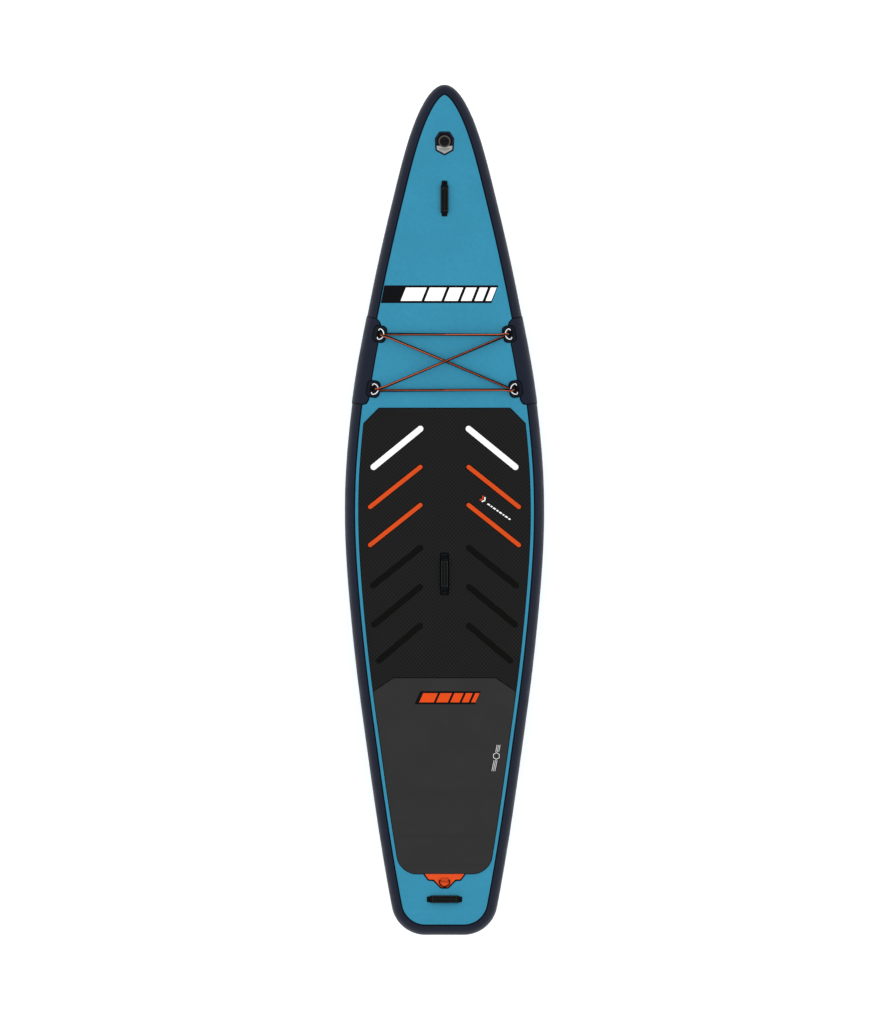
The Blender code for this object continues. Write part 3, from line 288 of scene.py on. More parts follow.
def ring_frame(x, y, lift):
    """Origin on a bungee ring's bar.

    Local +X points towards the board's middle, +Z off the shoulder and +Y along the bar.
    """
    h = 0.002
    slope_x = (surface(x + h, y) - surface(x - h, y)) / (2 * h)
    slope_y = (surface(x, y + h) - surface(x, y - h)) / (2 * h)
    up = Vector((-slope_x, -slope_y, 1.0)).normalized()
    nearest = int(np.argmin(np.hypot(DENSE[:, 0] - abs(x), DENSE[:, 1] - y)))
    inward = Vector((math.copysign(1, x) * DENSE_NORMAL[nearest][0], DENSE_NORMAL[nearest][1], 0.0))
    inward = (inward - up * inward.dot(up)).normalized()
    turned = Matrix((inward, up.cross(inward), up)).transposed().to_4x4()
    return Matrix.Translation(Vector((x, y, surface(x, y))) + up * lift) @ turned


# ---------------------------------------------------------------- materials
class Graph:
    """A Principled material and short calls that add nodes to it."""

    def __init__(self, name, colour, roughness, metallic=0.0, shine=0.5):
        self.material = bpy.data.materials.new(name)
        self.material.use_nodes = True
        self.nodes, self.links = self.material.node_tree.nodes, self.material.node_tree.links
        self.shader = self.nodes["Principled BSDF"]
        self.colour = linear(colour)
        self.put(self.shader, "Base Color", (*self.colour, 1.0))
        self.put(self.shader, "Roughness", roughness)
        self.put(self.shader, "Metallic", metallic)
        self.put(self.shader, "Specular IOR Level", shine)
        self.heights = []

    def put(self, node, socket, value):
        if isinstance(value, bpy.types.NodeSocket):
            self.links.new(value, node.inputs[socket])
        else:
            node.inputs[socket].default_value = value

    def add(self, kind, values, **settings):
        node = self.nodes.new("ShaderNode" + kind)
        for key, value in settings.items():
            setattr(node, key, value)
        for socket, value in values.items():
            self.put(node, socket, value)
        return node

    def math(self, operation, a, b=0.0):
        return self.add("Math", {0: a, 1: b}, operation=operation).outputs[0]

    def place(self, cloth=False):
        """Where a point is: x, y and z in the frame, or along, across and through for a made cloth."""
        if cloth:
            whole = self.add("Attribute", {}, attribute_name="cloth").outputs["Vector"]
        else:
            whole = self.add("TexCoord", {}).outputs["Object"]
        return whole, self.add("SeparateXYZ", {0: whole}).outputs

    def sine(self, coordinate, period):
        return self.math("SINE", self.math("MULTIPLY", coordinate, 2 * math.pi / period))

    def noise(self, where, scale, detail=3.0):
        return self.add("TexNoise", {"Vector": where, "Scale": scale, "Detail": detail}).outputs["Fac"]

    def range(self, value, low, high, to_low, to_high):
        values = {"Value": value, "From Min": low, "From Max": high, "To Min": to_low, "To Max": to_high}
        return self.add("MapRange", values, interpolation_type="SMOOTHSTEP").outputs["Result"]

    def tint(self, amount, *factors):
        """Darkens and lightens the base colour by up to an amount, as the factors say in turn."""
        colour = (*self.colour, 1.0)
        for factor in factors:
            shade = self.range(factor, 0.25, 0.75, 1.0 - amount, 1.0 + amount)
            mix = self.add("Mix", {0: 1.0, 6: colour, 7: shade}, data_type="RGBA", blend_type="MULTIPLY")
            colour = mix.outputs[2]
        self.put(self.shader, "Base Color", colour)
        return colour

    def swap(self, base, other, share):
        """Base Color from base to other by share. Both may be sockets or colours."""
        mix = self.add("Mix", {0: share, 6: base, 7: other}, data_type="RGBA")
        self.put(self.shader, "Base Color", mix.outputs[2])

    def raise_by(self, value, metres):
        self.heights.append(self.math("MULTIPLY", value, metres))

    def done(self, strength=1.0, roughness=None):
        if roughness:
            self.put(self.shader, "Roughness", self.range(*roughness))
        if self.heights:
            total = self.heights[0]
            for height in self.heights[1:]:
                total = self.math("ADD", total, height)
            bump = self.add("Bump", {"Strength": strength, "Distance": 1.0, "Height": total})
            self.put(self.shader, "Normal", bump.outputs[0])
        return self.material


def linear(colour):
    """0 to 255 screen values as linear colour."""
    shares = [c / 255 for c in colour]
    return tuple(s / 12.92 if s <= 0.04045 else ((s + 0.055) / 1.055) ** 2.4 for s in shares)


def coated_fabric(name, colour, roughness=0.42, cloth=False, weave=0.0011, shine=0.12):
    """PVC over a polyester base cloth: the weave just prints through, and the coat is never quite even."""
    g = Graph(name, colour, roughness, shine=shine)
    whole, axis = g.place(cloth)
    warp, weft = g.sine(axis[0], weave), g.sine(axis[1], weave)
    g.raise_by(g.math("MULTIPLY", warp, weft), 0.000022)
    broad, fine = g.noise(whole, 5.0), g.noise(whole, 60.0)
    g.raise_by(broad, 0.0006)
    g.raise_by(fine, 0.00006)
    g.tint(0.035, broad, fine)
    return g.done(0.7, (g.noise(whole, 18.0), 0.2, 0.8, roughness - 0.06, roughness + 0.08))


def foam(name, colour, pattern=None):
    """Closed-cell EVA: brushed and matte, with open pores. A pattern is pressed in where one is named."""
    g = Graph(name, colour, 0.9, shine=0.096)
    whole, axis = g.place()
    pores, broad = g.noise(whole, 900.0, 2.0), g.noise(whole, 9.0)
    g.raise_by(pores, 0.00010)
    base = g.tint(0.06, pores, broad)
    if pattern == "honeycomb":
        cells = g.add("TexVoronoi", {"Vector": whole, "Scale": 1 / HONEYCOMB, "Randomness": 0.0},
                      feature="DISTANCE_TO_EDGE").outputs[0]
        pressed = g.range(cells, 0.02, 0.16, 0.0, 1.0)
        g.raise_by(pressed, 0.00020)
        # painted shade: the lower cell edges, the grooves, are darkened to nine tenths of the colour
        g.swap((*(c * 0.90 for c in g.colour), 1.0), base, pressed)
    if pattern == "diamonds":
        across = g.math("MULTIPLY", axis[0], 1 / GATOR_X)
        along = g.math("MULTIPLY", axis[1], 1 / GATOR_Y)
        folds = [g.math("PINGPONG", g.math(sign, across, along), 0.5) for sign in ("ADD", "SUBTRACT")]
        # painted shade: the colour darkens to half along the pressed diagonal grooves
        groove_shade = g.range(g.math("MINIMUM", *folds), 0.07, 0.20, 1.0, 0.0)
        g.swap(base, (*(c * 0.50 for c in g.colour), 1.0), groove_shade)
    return g.done(0.8)


def woven(name, colour, rib=0.0016):
    """Webbing: a herringbone of thick yarns."""
    g = Graph(name, colour, 0.85, shine=0.1)
    whole, axis = g.place(cloth=True)
    fold = g.math("ABSOLUTE", axis[1])
    twill = g.sine(g.math("ADD", axis[0], fold), rib)
    yarns = g.sine(axis[1], rib * 0.9)
    g.raise_by(twill, 0.00014)
    g.raise_by(yarns, 0.00006)
    # painted shade in the twill's hollows, darker where the bump is low, plus a random tone from the noise
    g.tint(0.16, g.range(twill, -1.0, 1.0, 0.0, 1.0), g.noise(whole, 500.0))
    return g.done()


def neoprene(name, colour):
    """Knit-faced sponge rubber."""
    g = Graph(name, colour, 0.85, shine=0.1)
    whole, axis = g.place(cloth=True)
    knit = g.math("MULTIPLY", g.sine(axis[0], 0.0013), g.sine(axis[1], 0.0010))
    g.raise_by(knit, 0.00006)
    g.raise_by(g.noise(whole, 40.0), 0.0004)
    # painted shade in the knit's hollows, darker where the bump is low, plus a random tone from the noise
    g.tint(0.10, g.range(knit, -1.0, 1.0, 0.0, 1.0), g.noise(whole, 30.0))
    return g.done()


def braid(name, colour, tracer):
    """Elastic cord's braided sleeve, with a tracer above and below.

    The cloth's second coordinate runs from 0 to 1 round the cord.
    """
    g = Graph(name, colour, 0.7, shine=0.15)
    _, axis = g.place(cloth=True)
    turns, pitch = 8.0, 0.0125
    climb = g.math("MULTIPLY", axis[0], 1.0 / pitch * turns / 4)
    around = g.math("MULTIPLY", axis[1], turns)
    left, right = g.math("ADD", around, climb), g.math("SUBTRACT", around, climb)
    strands = g.math("MULTIPLY", g.sine(left, 1.0), g.sine(right, 1.0))
    g.raise_by(strands, 0.00018)
    # painted shade: the sleeve darkens in the hollows between its strands, where the bump is low
    base = g.tint(0.22, g.range(strands, -1.0, 1.0, 0.0, 1.0))
    from_top = g.math("PINGPONG", axis[1], 0.25)
    ragged = g.math("ADD", from_top, g.math("MULTIPLY", strands, 0.012))
    g.swap(base, (*linear(tracer), 1.0), g.range(ragged, 0.034, 0.046, 1.0, 0.0))
    return g.done()


def metal(name, colour, roughness):
    g = Graph(name, colour, roughness, 1.0)
    whole, _ = g.place()
    g.raise_by(g.noise(whole, 260.0), 0.00003)
    g.tint(0.05, g.noise(whole, 120.0))
    return g.done(0.5, (g.noise(whole, 300.0, 5.0), 0.3, 0.7, roughness - 0.06, roughness + 0.12))


def moulded(name, colour, roughness=0.42, grain=0.00004, coat=0.0, shine=0.5):
    """Injection-moulded plastic or rubber: a spark-eroded grain and faint scuffs."""
    g = Graph(name, colour, roughness, shine=shine)
    whole, _ = g.place()
    g.raise_by(g.noise(whole, 1400.0, 2.0), grain)
    scuffs = g.noise(whole, 75.0, 6.0)
    g.tint(0.07, scuffs, g.noise(whole, 14.0))
    if coat:
        g.shader.inputs["Coat Weight"].default_value = coat
        g.shader.inputs["Coat Roughness"].default_value = 0.12
    return g.done(0.6, (scuffs, 0.3, 0.75, roughness - 0.05, roughness + 0.13))


def printed(name, colour):
    """Screen ink on PVC or foam: thin, a little uneven, with the ground's texture under it."""
    g = Graph(name, colour, 0.5, shine=0.05)
    whole, axis = g.place()
    g.raise_by(g.math("MULTIPLY", g.sine(axis[0], 0.0011), g.sine(axis[1], 0.0011)), 0.00002)
    g.tint(0.03, g.noise(whole, 40.0), g.noise(whole, 700.0))
    return g.done(0.6, (g.noise(whole, 25.0), 0.3, 0.7, 0.44, 0.58))


def thread(name, colour):
    g = Graph(name, colour, 0.6)
    _, axis = g.place()
    twist = g.sine(g.math("ADD", axis[0], g.math("ADD", axis[1], axis[2])), 0.0009)
    g.raise_by(twist, 0.00008)
    # painted shade in the hollows of the twist, darker where the bump is low
    g.tint(0.12, g.range(twist, -1.0, 1.0, 0.0, 1.0))
    g.shader.inputs["Sheen Weight"].default_value = 0.3
    return g.done()


BLUE, NAVY, INK, ORANGE = (43, 124, 153), (21, 26, 40), (3, 6, 9), (202, 68, 20)
GATOR_X, GATOR_Y, GATOR_HEIGHT = 0.0155, 0.0176, 0.0011
HONEYCOMB = 0.0042


def make_paints():
    return {
        "deck": coated_fabric("deck_pvc", BLUE),
        "hull": coated_fabric("hull_pvc", BLUE),
        "rail": coated_fabric("rail_pvc", NAVY, cloth=True, shine=0.08),
        "patch_navy": coated_fabric("patch_pvc_navy", NAVY, shine=0.08),
        "tape": coated_fabric("seam_tape_pvc", INK, 0.55, weave=0.0008, shine=0.04),
        "patch": coated_fabric("patch_pvc_black", (12, 17, 27), 0.5, shine=0.08),
        "leash": coated_fabric("leash_pvc", ORANGE, 0.45),
        "chamber": coated_fabric("chamber_fabric", (150, 152, 155), 0.8),
        "yarns": thread("drop_stitch_yarn", (220, 220, 215)),
        "pad_front": foam("eva_front", (28, 28, 28), "diamonds"),
        "pad_sheet": foam("eva_backing", (6, 7, 9)),
        "pad_tail": foam("eva_tail", (43, 43, 43), "honeycomb"),
        "bar_white": foam("eva_white", (236, 236, 236), "honeycomb"),
        "bar_orange": foam("eva_orange", (195, 70, 25), "honeycomb"),
        "bar_black": foam("eva_black", (8, 8, 7), "honeycomb"),
        "webbing": woven("webbing_black", (5, 6, 8)),
        "leash_webbing": woven("webbing_orange", (190, 66, 24)),
        "grip": neoprene("neoprene_black", (7, 9, 10)),
        "bungee": braid("bungee_sleeve", (10, 6, 6), (206, 92, 54)),
        "steel": metal("stainless_steel", (240, 240, 242), 0.22),
        "steel_dark": metal("blackened_steel", (52, 24, 20), 0.4),
        "brass": metal("brass", (206, 172, 106), 0.32),
        "valve": moulded("valve_grey", (74, 68, 62), shine=0.3),
        "valve_dark": moulded("valve_black", (8, 8, 9), shine=0.12),
        "gasket": moulded("gasket_rubber", (11, 11, 11), 0.7, shine=0.15),
        "label": printed("label_grey", (146, 146, 146)),
        "ink_black": printed("ink_black", (8, 9, 12)),
        "ink_grey": printed("ink_grey", (84, 84, 84)),
        "ink_pale": printed("ink_pale", (208, 208, 208)),
        "ink_white": printed("ink_white", (236, 236, 236)),
        "ink_orange": printed("ink_orange", ORANGE),
        "fin": moulded("fin_nylon", (11, 11, 13), 0.28, grain=0.00001, coat=0.25, shine=0.3),
        "fin_box": moulded("fin_box_nylon", (20, 20, 22), 0.45),
        "thread_black": thread("thread_black", (14, 14, 15)),
        "thread_grey": thread("thread_grey", (74, 76, 78)),
        "thread_orange": thread("thread_orange", (170, 58, 22)),
    }


# ---------------------------------------------------------------- mesh helpers
def put_in_scene(name, data):
    made = bpy.data.objects.new(name, data)
    bpy.context.scene.collection.objects.link(made)
    return made


def piece(name, verts, faces, paint, body, slot, replaces=(), smooth_deg=35, cloth=None):
    """A mesh that rides on a body. cloth gives each vertex its place along and across its own fabric."""
    mesh = bpy.data.meshes.new(name)
    mesh.from_pydata([tuple(v) for v in verts], [], [tuple(f) for f in faces])
    mesh.validate()
    if cloth is not None:
        made = mesh.attributes.new("cloth", "FLOAT_VECTOR", "POINT")
        padded = np.zeros((len(verts), 3), np.float32)
        padded[:, : np.shape(cloth)[1]] = cloth
        made.data.foreach_set("vector", padded.ravel())
    mesh.shade_smooth()
    mesh.set_sharp_from_angle(angle=math.radians(smooth_deg))
    mesh.materials.append(paint)
    made = put_in_scene(name, mesh)
    if body:
        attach(made, body)
    if replaces:
        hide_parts(*replaces)
    return made


def bmesh_of(verts, faces):
    made = bmesh.new()
    points = [made.verts.new(v) for v in verts]
    for face in faces:
        made.faces.new([points[i] for i in face])
    return made


def taken_out(made):
    """A bmesh's vertices and faces. The bmesh itself is freed."""
    made.verts.index_update()
    verts = [v.co.copy() for v in made.verts]
    faces = [[v.index for v in f.verts] for f in made.faces]
    made.free()
    return verts, faces


def facing_out(verts, faces):
    """A solid's faces, turned outwards."""
    made = bmesh_of(verts, faces)
    bmesh.ops.recalc_face_normals(made, faces=made.faces)
    return taken_out(made)[1]


def strips(rows, length, closed):
    """Faces between rows of points that follow one another."""
    faces = []
    for r in range(rows - 1):
        for k in range(length if closed else length - 1):
            n = (k + 1) % length
            a, b = r * length + k, r * length + n
            faces.append((a, b, b + length, a + length))
    return faces


def last_to_first(rows, length):
    """Faces from the last of a number of closed rows to the first."""
    last = (rows - 1) * length
    return [(last + k, last + (k + 1) % length, (k + 1) % length, k) for k in range(length)]


def end_caps(rows, length):
    """A face over the first of a number of closed rows, and one over the last."""
    last = (rows - 1) * length
    return [tuple(range(length - 1, -1, -1)), tuple(range(last, last + length))]


def cross_bars(start, length):
    """Faces from side to side across a ring whose first point, at the nose, is numbered start."""
    half = (length + 1) // 2
    faces = [(start, start + 1, start + length - 1)]
    for k in range(1, half - 1):
        faces.append((start + k, start + k + 1, start + length - k - 1, start + length - k))
    return faces


def tidy(name, verts, faces, *rest, **more):
    """A piece whose points that coincide are made one, with its faces turned outwards."""
    made = bmesh_of(verts, faces)
    bmesh.ops.remove_doubles(made, verts=made.verts, dist=2e-6)
    bmesh.ops.recalc_face_normals(made, faces=made.faces)
    return piece(name, *taken_out(made), *rest, **more)


def thick(outer, inner, faces):
    """Closed solid between two point sets that share the same faces."""
    count = len(outer)
    directed = {(f[k], f[(k + 1) % len(f)]) for f in faces for k in range(len(f))}
    rim = [(a, b) for a, b in directed if (b, a) not in directed]
    solid = [tuple(f) for f in faces]
    solid += [tuple(i + count for i in reversed(f)) for f in faces]
    solid += [(b, a, a + count, b + count) for a, b in sorted(rim)]
    return np.vstack([outer, inner]), solid


def arc(centre, radius, from_deg, to_deg, steps):
    angles = np.radians(np.linspace(from_deg, to_deg, steps + 1))
    return [(centre[0] + radius * math.cos(a), centre[1] + radius * math.sin(a)) for a in angles]


def rounded_rectangle(half_x, half_y, r, steps=6):
    points = []
    for sx, sy, a in ((1, 1, 0), (-1, 1, 90), (-1, -1, 180), (1, -1, 270)):
        points += arc((sx * (half_x - r), sy * (half_y - r)), r, a, a + 90, steps)
    return points


def rounded_polygon(corners, r, steps=4):
    """A polygon whose corners are blended by quadratic curves."""
    points = []
    for k in range(len(corners)):
        before, here, after = (np.array(corners[(k + j) % len(corners)], float) for j in (-1, 0, 1))
        back, ahead = before - here, after - here
        start = here + back / np.linalg.norm(back) * min(r, np.linalg.norm(back) * 0.45)
        end = here + ahead / np.linalg.norm(ahead) * min(r, np.linalg.norm(ahead) * 0.45)
        for t in np.linspace(0, 1, steps + 1):
            points.append(tuple((1 - t) ** 2 * start + 2 * t * (1 - t) * here + t**2 * end))
    return points


def inset_corners(corners, distances):
    """A polygon's corners once each side, from corner k to the next, has moved in by its own distance."""
    points = np.array(corners)
    ways = unit(np.roll(points, -1, axis=0) - points)
    x, y = points.T
    turn = np.sign(np.sum(x * np.roll(y, -1) - y * np.roll(x, -1)))
    inward = np.stack([-ways[:, 1], ways[:, 0]], axis=1) * turn
    moved = points + inward * np.array(distances)[:, None]
    made = []
    for k, way in enumerate(ways):
        before = ways[k - 1]
        gone = np.linalg.solve(np.stack([before, -way], axis=1), moved[k] - moved[k - 1])
        made.append(tuple(moved[k - 1] + before * gone[0]))
    return made


def resampled(loop, count):
    """A closed loop as a number of evenly spaced points."""
    loop = np.vstack([loop, loop[:1]])
    gone = gone_along(loop)
    wanted = np.linspace(0, gone[-1], count, endpoint=False)
    return np.stack([np.interp(wanted, gone, loop[:, k]) for k in range(loop.shape[1])], axis=1)


def catmull(points, per_span):
    """A smooth curve through points."""
    points = [np.array(p, float) for p in points]
    padded = [2 * points[0] - points[1], *points, 2 * points[-1] - points[-2]]
    curve = []
    for a, b, c, d in zip(padded, padded[1:], padded[2:], padded[3:]):
        ta = 0.0
        tb = ta + max(np.linalg.norm(b - a), 1e-9) ** 0.5
        tc = tb + max(np.linalg.norm(c - b), 1e-9) ** 0.5
        td = tc + max(np.linalg.norm(d - c), 1e-9) ** 0.5
        for k in range(per_span):
            t = tb + (tc - tb) * k / per_span
            ab = (tb - t) / (tb - ta) * a + (t - ta) / (tb - ta) * b
            bc = (tc - t) / (tc - tb) * b + (t - tb) / (tc - tb) * c
            cd = (td - t) / (td - tc) * c + (t - tc) / (td - tc) * d
            abc = (tc - t) / (tc - ta) * ab + (t - ta) / (tc - ta) * bc
            bcd = (td - t) / (td - tb) * bc + (t - tb) / (td - tb) * cd
            curve.append((tc - t) / (tc - tb) * abc + (t - tb) / (tc - tb) * bcd)
    return np.array([*curve, points[-1]])


def tube(path, radius, sides=16, closed=False, up=(0, 0, 1), level=False):
    """Vertices, faces and cloth places of a round tube.

    level spreads its twist, so that both ends face up.
    """
    path = np.asarray(path, float)
    count = len(path)
    tangent = unit(np.roll(path, -1, 0) - np.roll(path, 1, 0) if closed else np.gradient(path, axis=0))
    gone = gone_along(path)
    up = normal = np.array(up, float)
    normals = []
    for t in tangent:
        normal = normal - t * (normal @ t)
        normal /= np.linalg.norm(normal)
        normals.append(normal)
    twist = 0.0
    if level:
        twist = math.atan2(up @ np.cross(tangent[-1], normal), up @ normal)
        twist = (twist + math.pi / 2) % math.pi - math.pi / 2
    angles = math.pi + 2 * math.pi * np.arange(sides) / sides  # from below, where the cloth is joined
    rows = []
    for p, t, normal, share in zip(path, tangent, normals, gone / gone[-1]):
        around = (angles + twist * share)[:, None]
        rows.append(p + radius * (np.cos(around) * normal + np.sin(around) * np.cross(t, normal)))
    verts = np.vstack(rows)
    faces = strips(count, sides, True) + (last_to_first if closed else end_caps)(count, sides)
    cloth = np.column_stack([np.repeat(gone, sides), np.tile(np.arange(sides) / sides, count)])
    return verts, faces, cloth


def rounded_edge(low, high, edge):
    """How far in and how high each row of points round a sheet's edge lies."""
    return ((0.0, low), (0.0, high - edge), (0.3 * edge, high - 0.3 * edge), (edge, high))


def sheet(name, outline, matrix, paint, slot, replaces=(), *, base, thickness, edge, rings=5, hole=None):
    """A cut of sheet laid on the board, with a rounded edge. The outline is in the matrix's own x, y."""
    outline = np.array(outline, float)
    count = len(outline)
    hub = outline.mean(axis=0) if hole is None else np.array(hole, float)
    toward = outline - hub
    reach = np.linalg.norm(toward, axis=1)
    top = base + thickness
    loops = [(outline - toward / reach[:, None] * pull, z) for pull, z in rounded_edge(base, top, edge)]
    loops += [(outline - toward * (k / rings), top) for k in range(1, rings)]
    if hole is not None:
        loops += [(hub, top), (hub, base)]
    verts = []
    for loop, height in loops:
        plan = [(matrix @ Vector((u, v, 0)))[:2] for u, v in loop]
        verts.append(laid(plan, height))
    verts = np.vstack(verts)
    faces = strips(len(loops), count, True)
    if hole is None:
        last = (len(loops) - 1) * count
        middle = matrix @ Vector((*hub, 0))
        verts = np.vstack([verts, laid([middle[:2]], top)])
        faces += [(last + k, last + (k + 1) % count, len(verts) - 1) for k in range(count)]
        faces.append(tuple(range(count)))
    else:
        faces += last_to_first(len(loops), count)
    tidy(name, verts, faces, paint, "board", slot, replaces)


def stitch_rows(name, lines, matrix, body, slot, paint, length, gap, thick_r=0.00038):
    """Short thread beads along straight local lines, each dipping into the cloth at both ends."""
    verts, faces = [], []
    for start, end in lines:
        start, end = Vector(start), Vector(end)
        way = end - start
        count = max(int(way.length / (length + gap)), 1)
        step = way / count
        for k in range(count):
            a = start + step * (k + 0.5) - step.normalized() * length / 2
            path = []
            for t in (0.0, 0.25, 0.5, 0.75, 1.0):
                lift = Vector((0, 0, thick_r * (1.2 * math.sin(math.pi * t) - 0.4)))
                path.append(matrix @ (a + step.normalized() * length * t + lift))
            bead, bead_faces, _ = tube(path, thick_r, 6, up=matrix.col[2][:3])
            faces += [tuple(i + len(verts) for i in f) for f in bead_faces]
            verts += [tuple(v) for v in bead]
    piece(name, verts, faces, paint, body, slot)


# ---------------------------------------------------------------- hull
def make_skins(paints):
    thetas = np.linspace(THETA_SEAM, math.pi / 2, 11)
    count = len(whole_ring(0, 0))
    faces = strips(len(thetas), count, True) + cross_bars((len(thetas) - 1) * count, count)
    panels = (("deck_panel", "deck_skin", 1, "deck"), ("hull_panel", "hull_skin", -1, "hull"))
    for name, node, side, paint in panels:
        outer = np.vstack([whole_ring(side * t, 0) for t in thetas])
        inner = np.vstack([whole_ring(side * t, SKIN) for t in thetas])
        made = tidy(name, *thick(outer, inner, faces), paints[paint], None, paint + "_pvc", smooth_deg=60)
        if side == 1:
            cut_valve_hole(made)
        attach(made, "board")
        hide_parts(node)


def cut_valve_hole(deck):
    """Drills the deck's panel for the valve's barrel."""
    hole_r, depth = 0.0176, 0.02
    drill = bpy.data.meshes.new("valve_drill")
    made = bmesh.new()
    bmesh.ops.create_cone(made, cap_ends=True, segments=48, radius1=hole_r, radius2=hole_r, depth=depth)
    made.transform(frame_on(0, VALVE_Y))
    made.to_mesh(drill)
    made.free()
    cutter = put_in_scene("valve_drill", drill)
    step = deck.modifiers.new("valve_hole", "BOOLEAN")
    step.operation, step.solver, step.object = "DIFFERENCE", "EXACT", cutter
    bpy.context.view_layer.update()
    evaluated = deck.evaluated_get(bpy.context.evaluated_depsgraph_get())
    cut = bpy.data.meshes.new_from_object(evaluated)
    deck.modifiers.clear()
    deck.data = cut
    bpy.data.objects.remove(cutter)


def make_rails(paints):
    """Sidewall strips from seam to seam, butted at the nose and the tail."""
    steps = 22
    thetas = np.linspace(-THETA_SEAM, THETA_SEAM, 2 * steps + 1)
    half_gap, tail_steps = 0.00002, 8
    plan = np.vstack([LINE, np.linspace(LINE[-1], (half_gap, LINE[-1][1]), tail_steps + 1)[1:]])
    along = gone_along(plan)
    for side, flip in SIDES:
        def rail_points(depth):
            rows = []
            for theta in thetas:
                row = half_ring(theta, depth)
                row[:, 0] = np.maximum(row[:, 0], half_gap)
                tail_edge = np.repeat(row[-1:], tail_steps, axis=0)
                tail_edge[:, 0] = np.linspace(row[-1][0], half_gap, tail_steps + 1)[1:]
                rows.append(np.vstack([row, tail_edge]) * (flip, 1, 1))
            return np.vstack(rows)

        faces = strips(len(thetas), len(along), False)
        places = np.column_stack([np.tile(along, len(thetas)), np.repeat(thetas * RAIL_R, len(along))])
        verts, solid = thick(rail_points(0), rail_points(SKIN), faces)
        if flip < 0:
            solid = [tuple(reversed(f)) for f in solid]
        piece("rail_" + side, verts, solid, paints["rail"], "board", "rail_pvc", ["rail_band_" + side],
              60, np.vstack([places, places]))


def make_seam_tapes(paints):
    half = TAPE_WIDTH / 2 / RAIL_R
    shares = ((-1.0, 0.0), (-0.86, 0.8), (-0.5, 1.0), (0.0, 1.05), (0.5, 1.0), (0.86, 0.8), (1.0, 0.0))
    count = len(whole_ring(0, 0))
    for name, node, side in (("deck_tape", "deck_seam_tape", 1), ("hull_tape", "hull_seam_tape", -1)):
        rows = [whole_ring(side * (THETA_SEAM + half * u), -TAPE_BASE - TAPE * h) for u, h in shares]
        faces = strips(len(rows), count, True) + last_to_first(len(rows), count)
        tidy(name, np.vstack(rows), faces, paints["tape"], "board", "seam_tape", [node], smooth_deg=60)


def make_rail_wraps(paints):
    """Navy wraps over the rail at the bungee, each on a black one that shows as a border."""
    layers = (("rail_wrap_edge", 0.0, RAIL_PATCH_BASE, "tape", "seam_tape", False),
              ("rail_wrap", 0.0042, RAIL_PATCH_BASE + RAIL_PATCH, "patch_navy", "rail_pvc", True))
    for side, flip in SIDES:
        for name, shrink, base, paint, slot, counts in layers:
            top = rail_wrap_sheet(base + RAIL_PATCH, shrink + 0.0008, flip)
            low = rail_wrap_sheet(base, shrink, flip)
            node = ["rail_patch_" + side] if counts else []
            faces = strips(WRAP_ROWS + 1, WRAP_STEPS + 1, False)
            tidy(f"{name}_{side}", *thick(top, low, faces), paints[paint], "board", slot, node)


WRAP_ROWS, WRAP_STEPS = 30, 40


def rail_wrap_sheet(height, shrink, flip):
    """Points of a wrap whose ends cross the rail squarely. Its corners on the deck are round."""
    reach, lower = math.acos((RAIL_R - 0.0675) / RAIL_R), math.radians(-56)
    front, rear, front_r, rear_r, slant = 0.798, 0.438, 0.018, 0.024, 0.018
    thetas = np.linspace(lower + shrink / RAIL_R, reach - shrink / RAIL_R, WRAP_ROWS + 1)
    r, points = RAIL_R + height, []
    for theta in thetas:
        left = max((reach - theta) * RAIL_R - shrink, 0.0)
        pulls = [c - math.sqrt(max(c**2 - max(c - left, 0.0) ** 2, 0.0)) for c in (front_r, rear_r)]
        top = front - shrink - pulls[0] - slant * max((theta - THETA_SEAM) / (reach - THETA_SEAM), 0.0)
        wanted = np.linspace(top, rear + shrink + pulls[1], WRAP_STEPS + 1)
        line, normal = (np.stack([np.interp(-wanted, -LINE[:, 1], v[:, k]) for k in range(2)], 1)
                        for v in (LINE, LINE_NORMAL))
        plan = line + normal * (RAIL_R - r * math.cos(theta))
        level = RAIL_R + r * math.sin(theta) + rocker(plan[:, 1])
        points.append(np.column_stack([plan[:, 0] * flip, plan[:, 1], level]))
    return np.vstack(points)


# ---------------------------------------------------------------- foam pads
def side_line(inset):
    return DENSE + DENSE_NORMAL * inset


def beyond(x, y, start, end):
    """Signed distance of points to the left of the line from start to end."""
    (ax, ay), (bx, by) = start, end
    length = math.hypot(bx - ax, by - ay)
    return ((bx - ax) * (y - ay) - (by - ay) * (x - ax)) / length


def pad_side_x(y):
    line = side_line(PAD_INSET)
    return float(np.interp(-y, -line[:, 1], line[:, 0]))


def in_joint(x, y):
    """Distance in front of the line where the two pads meet, which drops towards the sides."""
    x = np.abs(x)
    slanted = beyond(x, y, (PAD_JOINT_HALF, PAD_JOINT_Y), (pad_side_x(PAD_JOINT_SIDE_Y), PAD_JOINT_SIDE_Y))
    return np.maximum(y - PAD_JOINT_Y, slanted)


def in_slots(x, y):
    """Distance outside the nearest bar's slot."""
    x = np.abs(x)
    best = np.full(np.shape(x), 1.0)
    for start, end, _, slot, _ in PAD_BARS:
        (ax, ay), (bx, by) = start, end
        way = (bx - ax, by - ay)
        share = np.clip(((x - ax) * way[0] + (y - ay) * way[1]) / (way[0] ** 2 + way[1] ** 2), 0, 1)
        best = np.minimum(best, np.hypot(x - ax - share * way[0], y - ay - share * way[1]) - slot / 2)
    return best


def in_window(x, y, half_x, half_y, r):
    """Distance outside a rounded window round the centre handle."""
    cx, cy = HANDLES["centre_handle"][0]
    dx = np.abs(x - cx) - (half_x - r)
    dy = np.abs(y - cy) - (half_y - r)
    return np.hypot(np.maximum(dx, 0), np.maximum(dy, 0)) + np.minimum(np.maximum(dx, dy), 0) - r


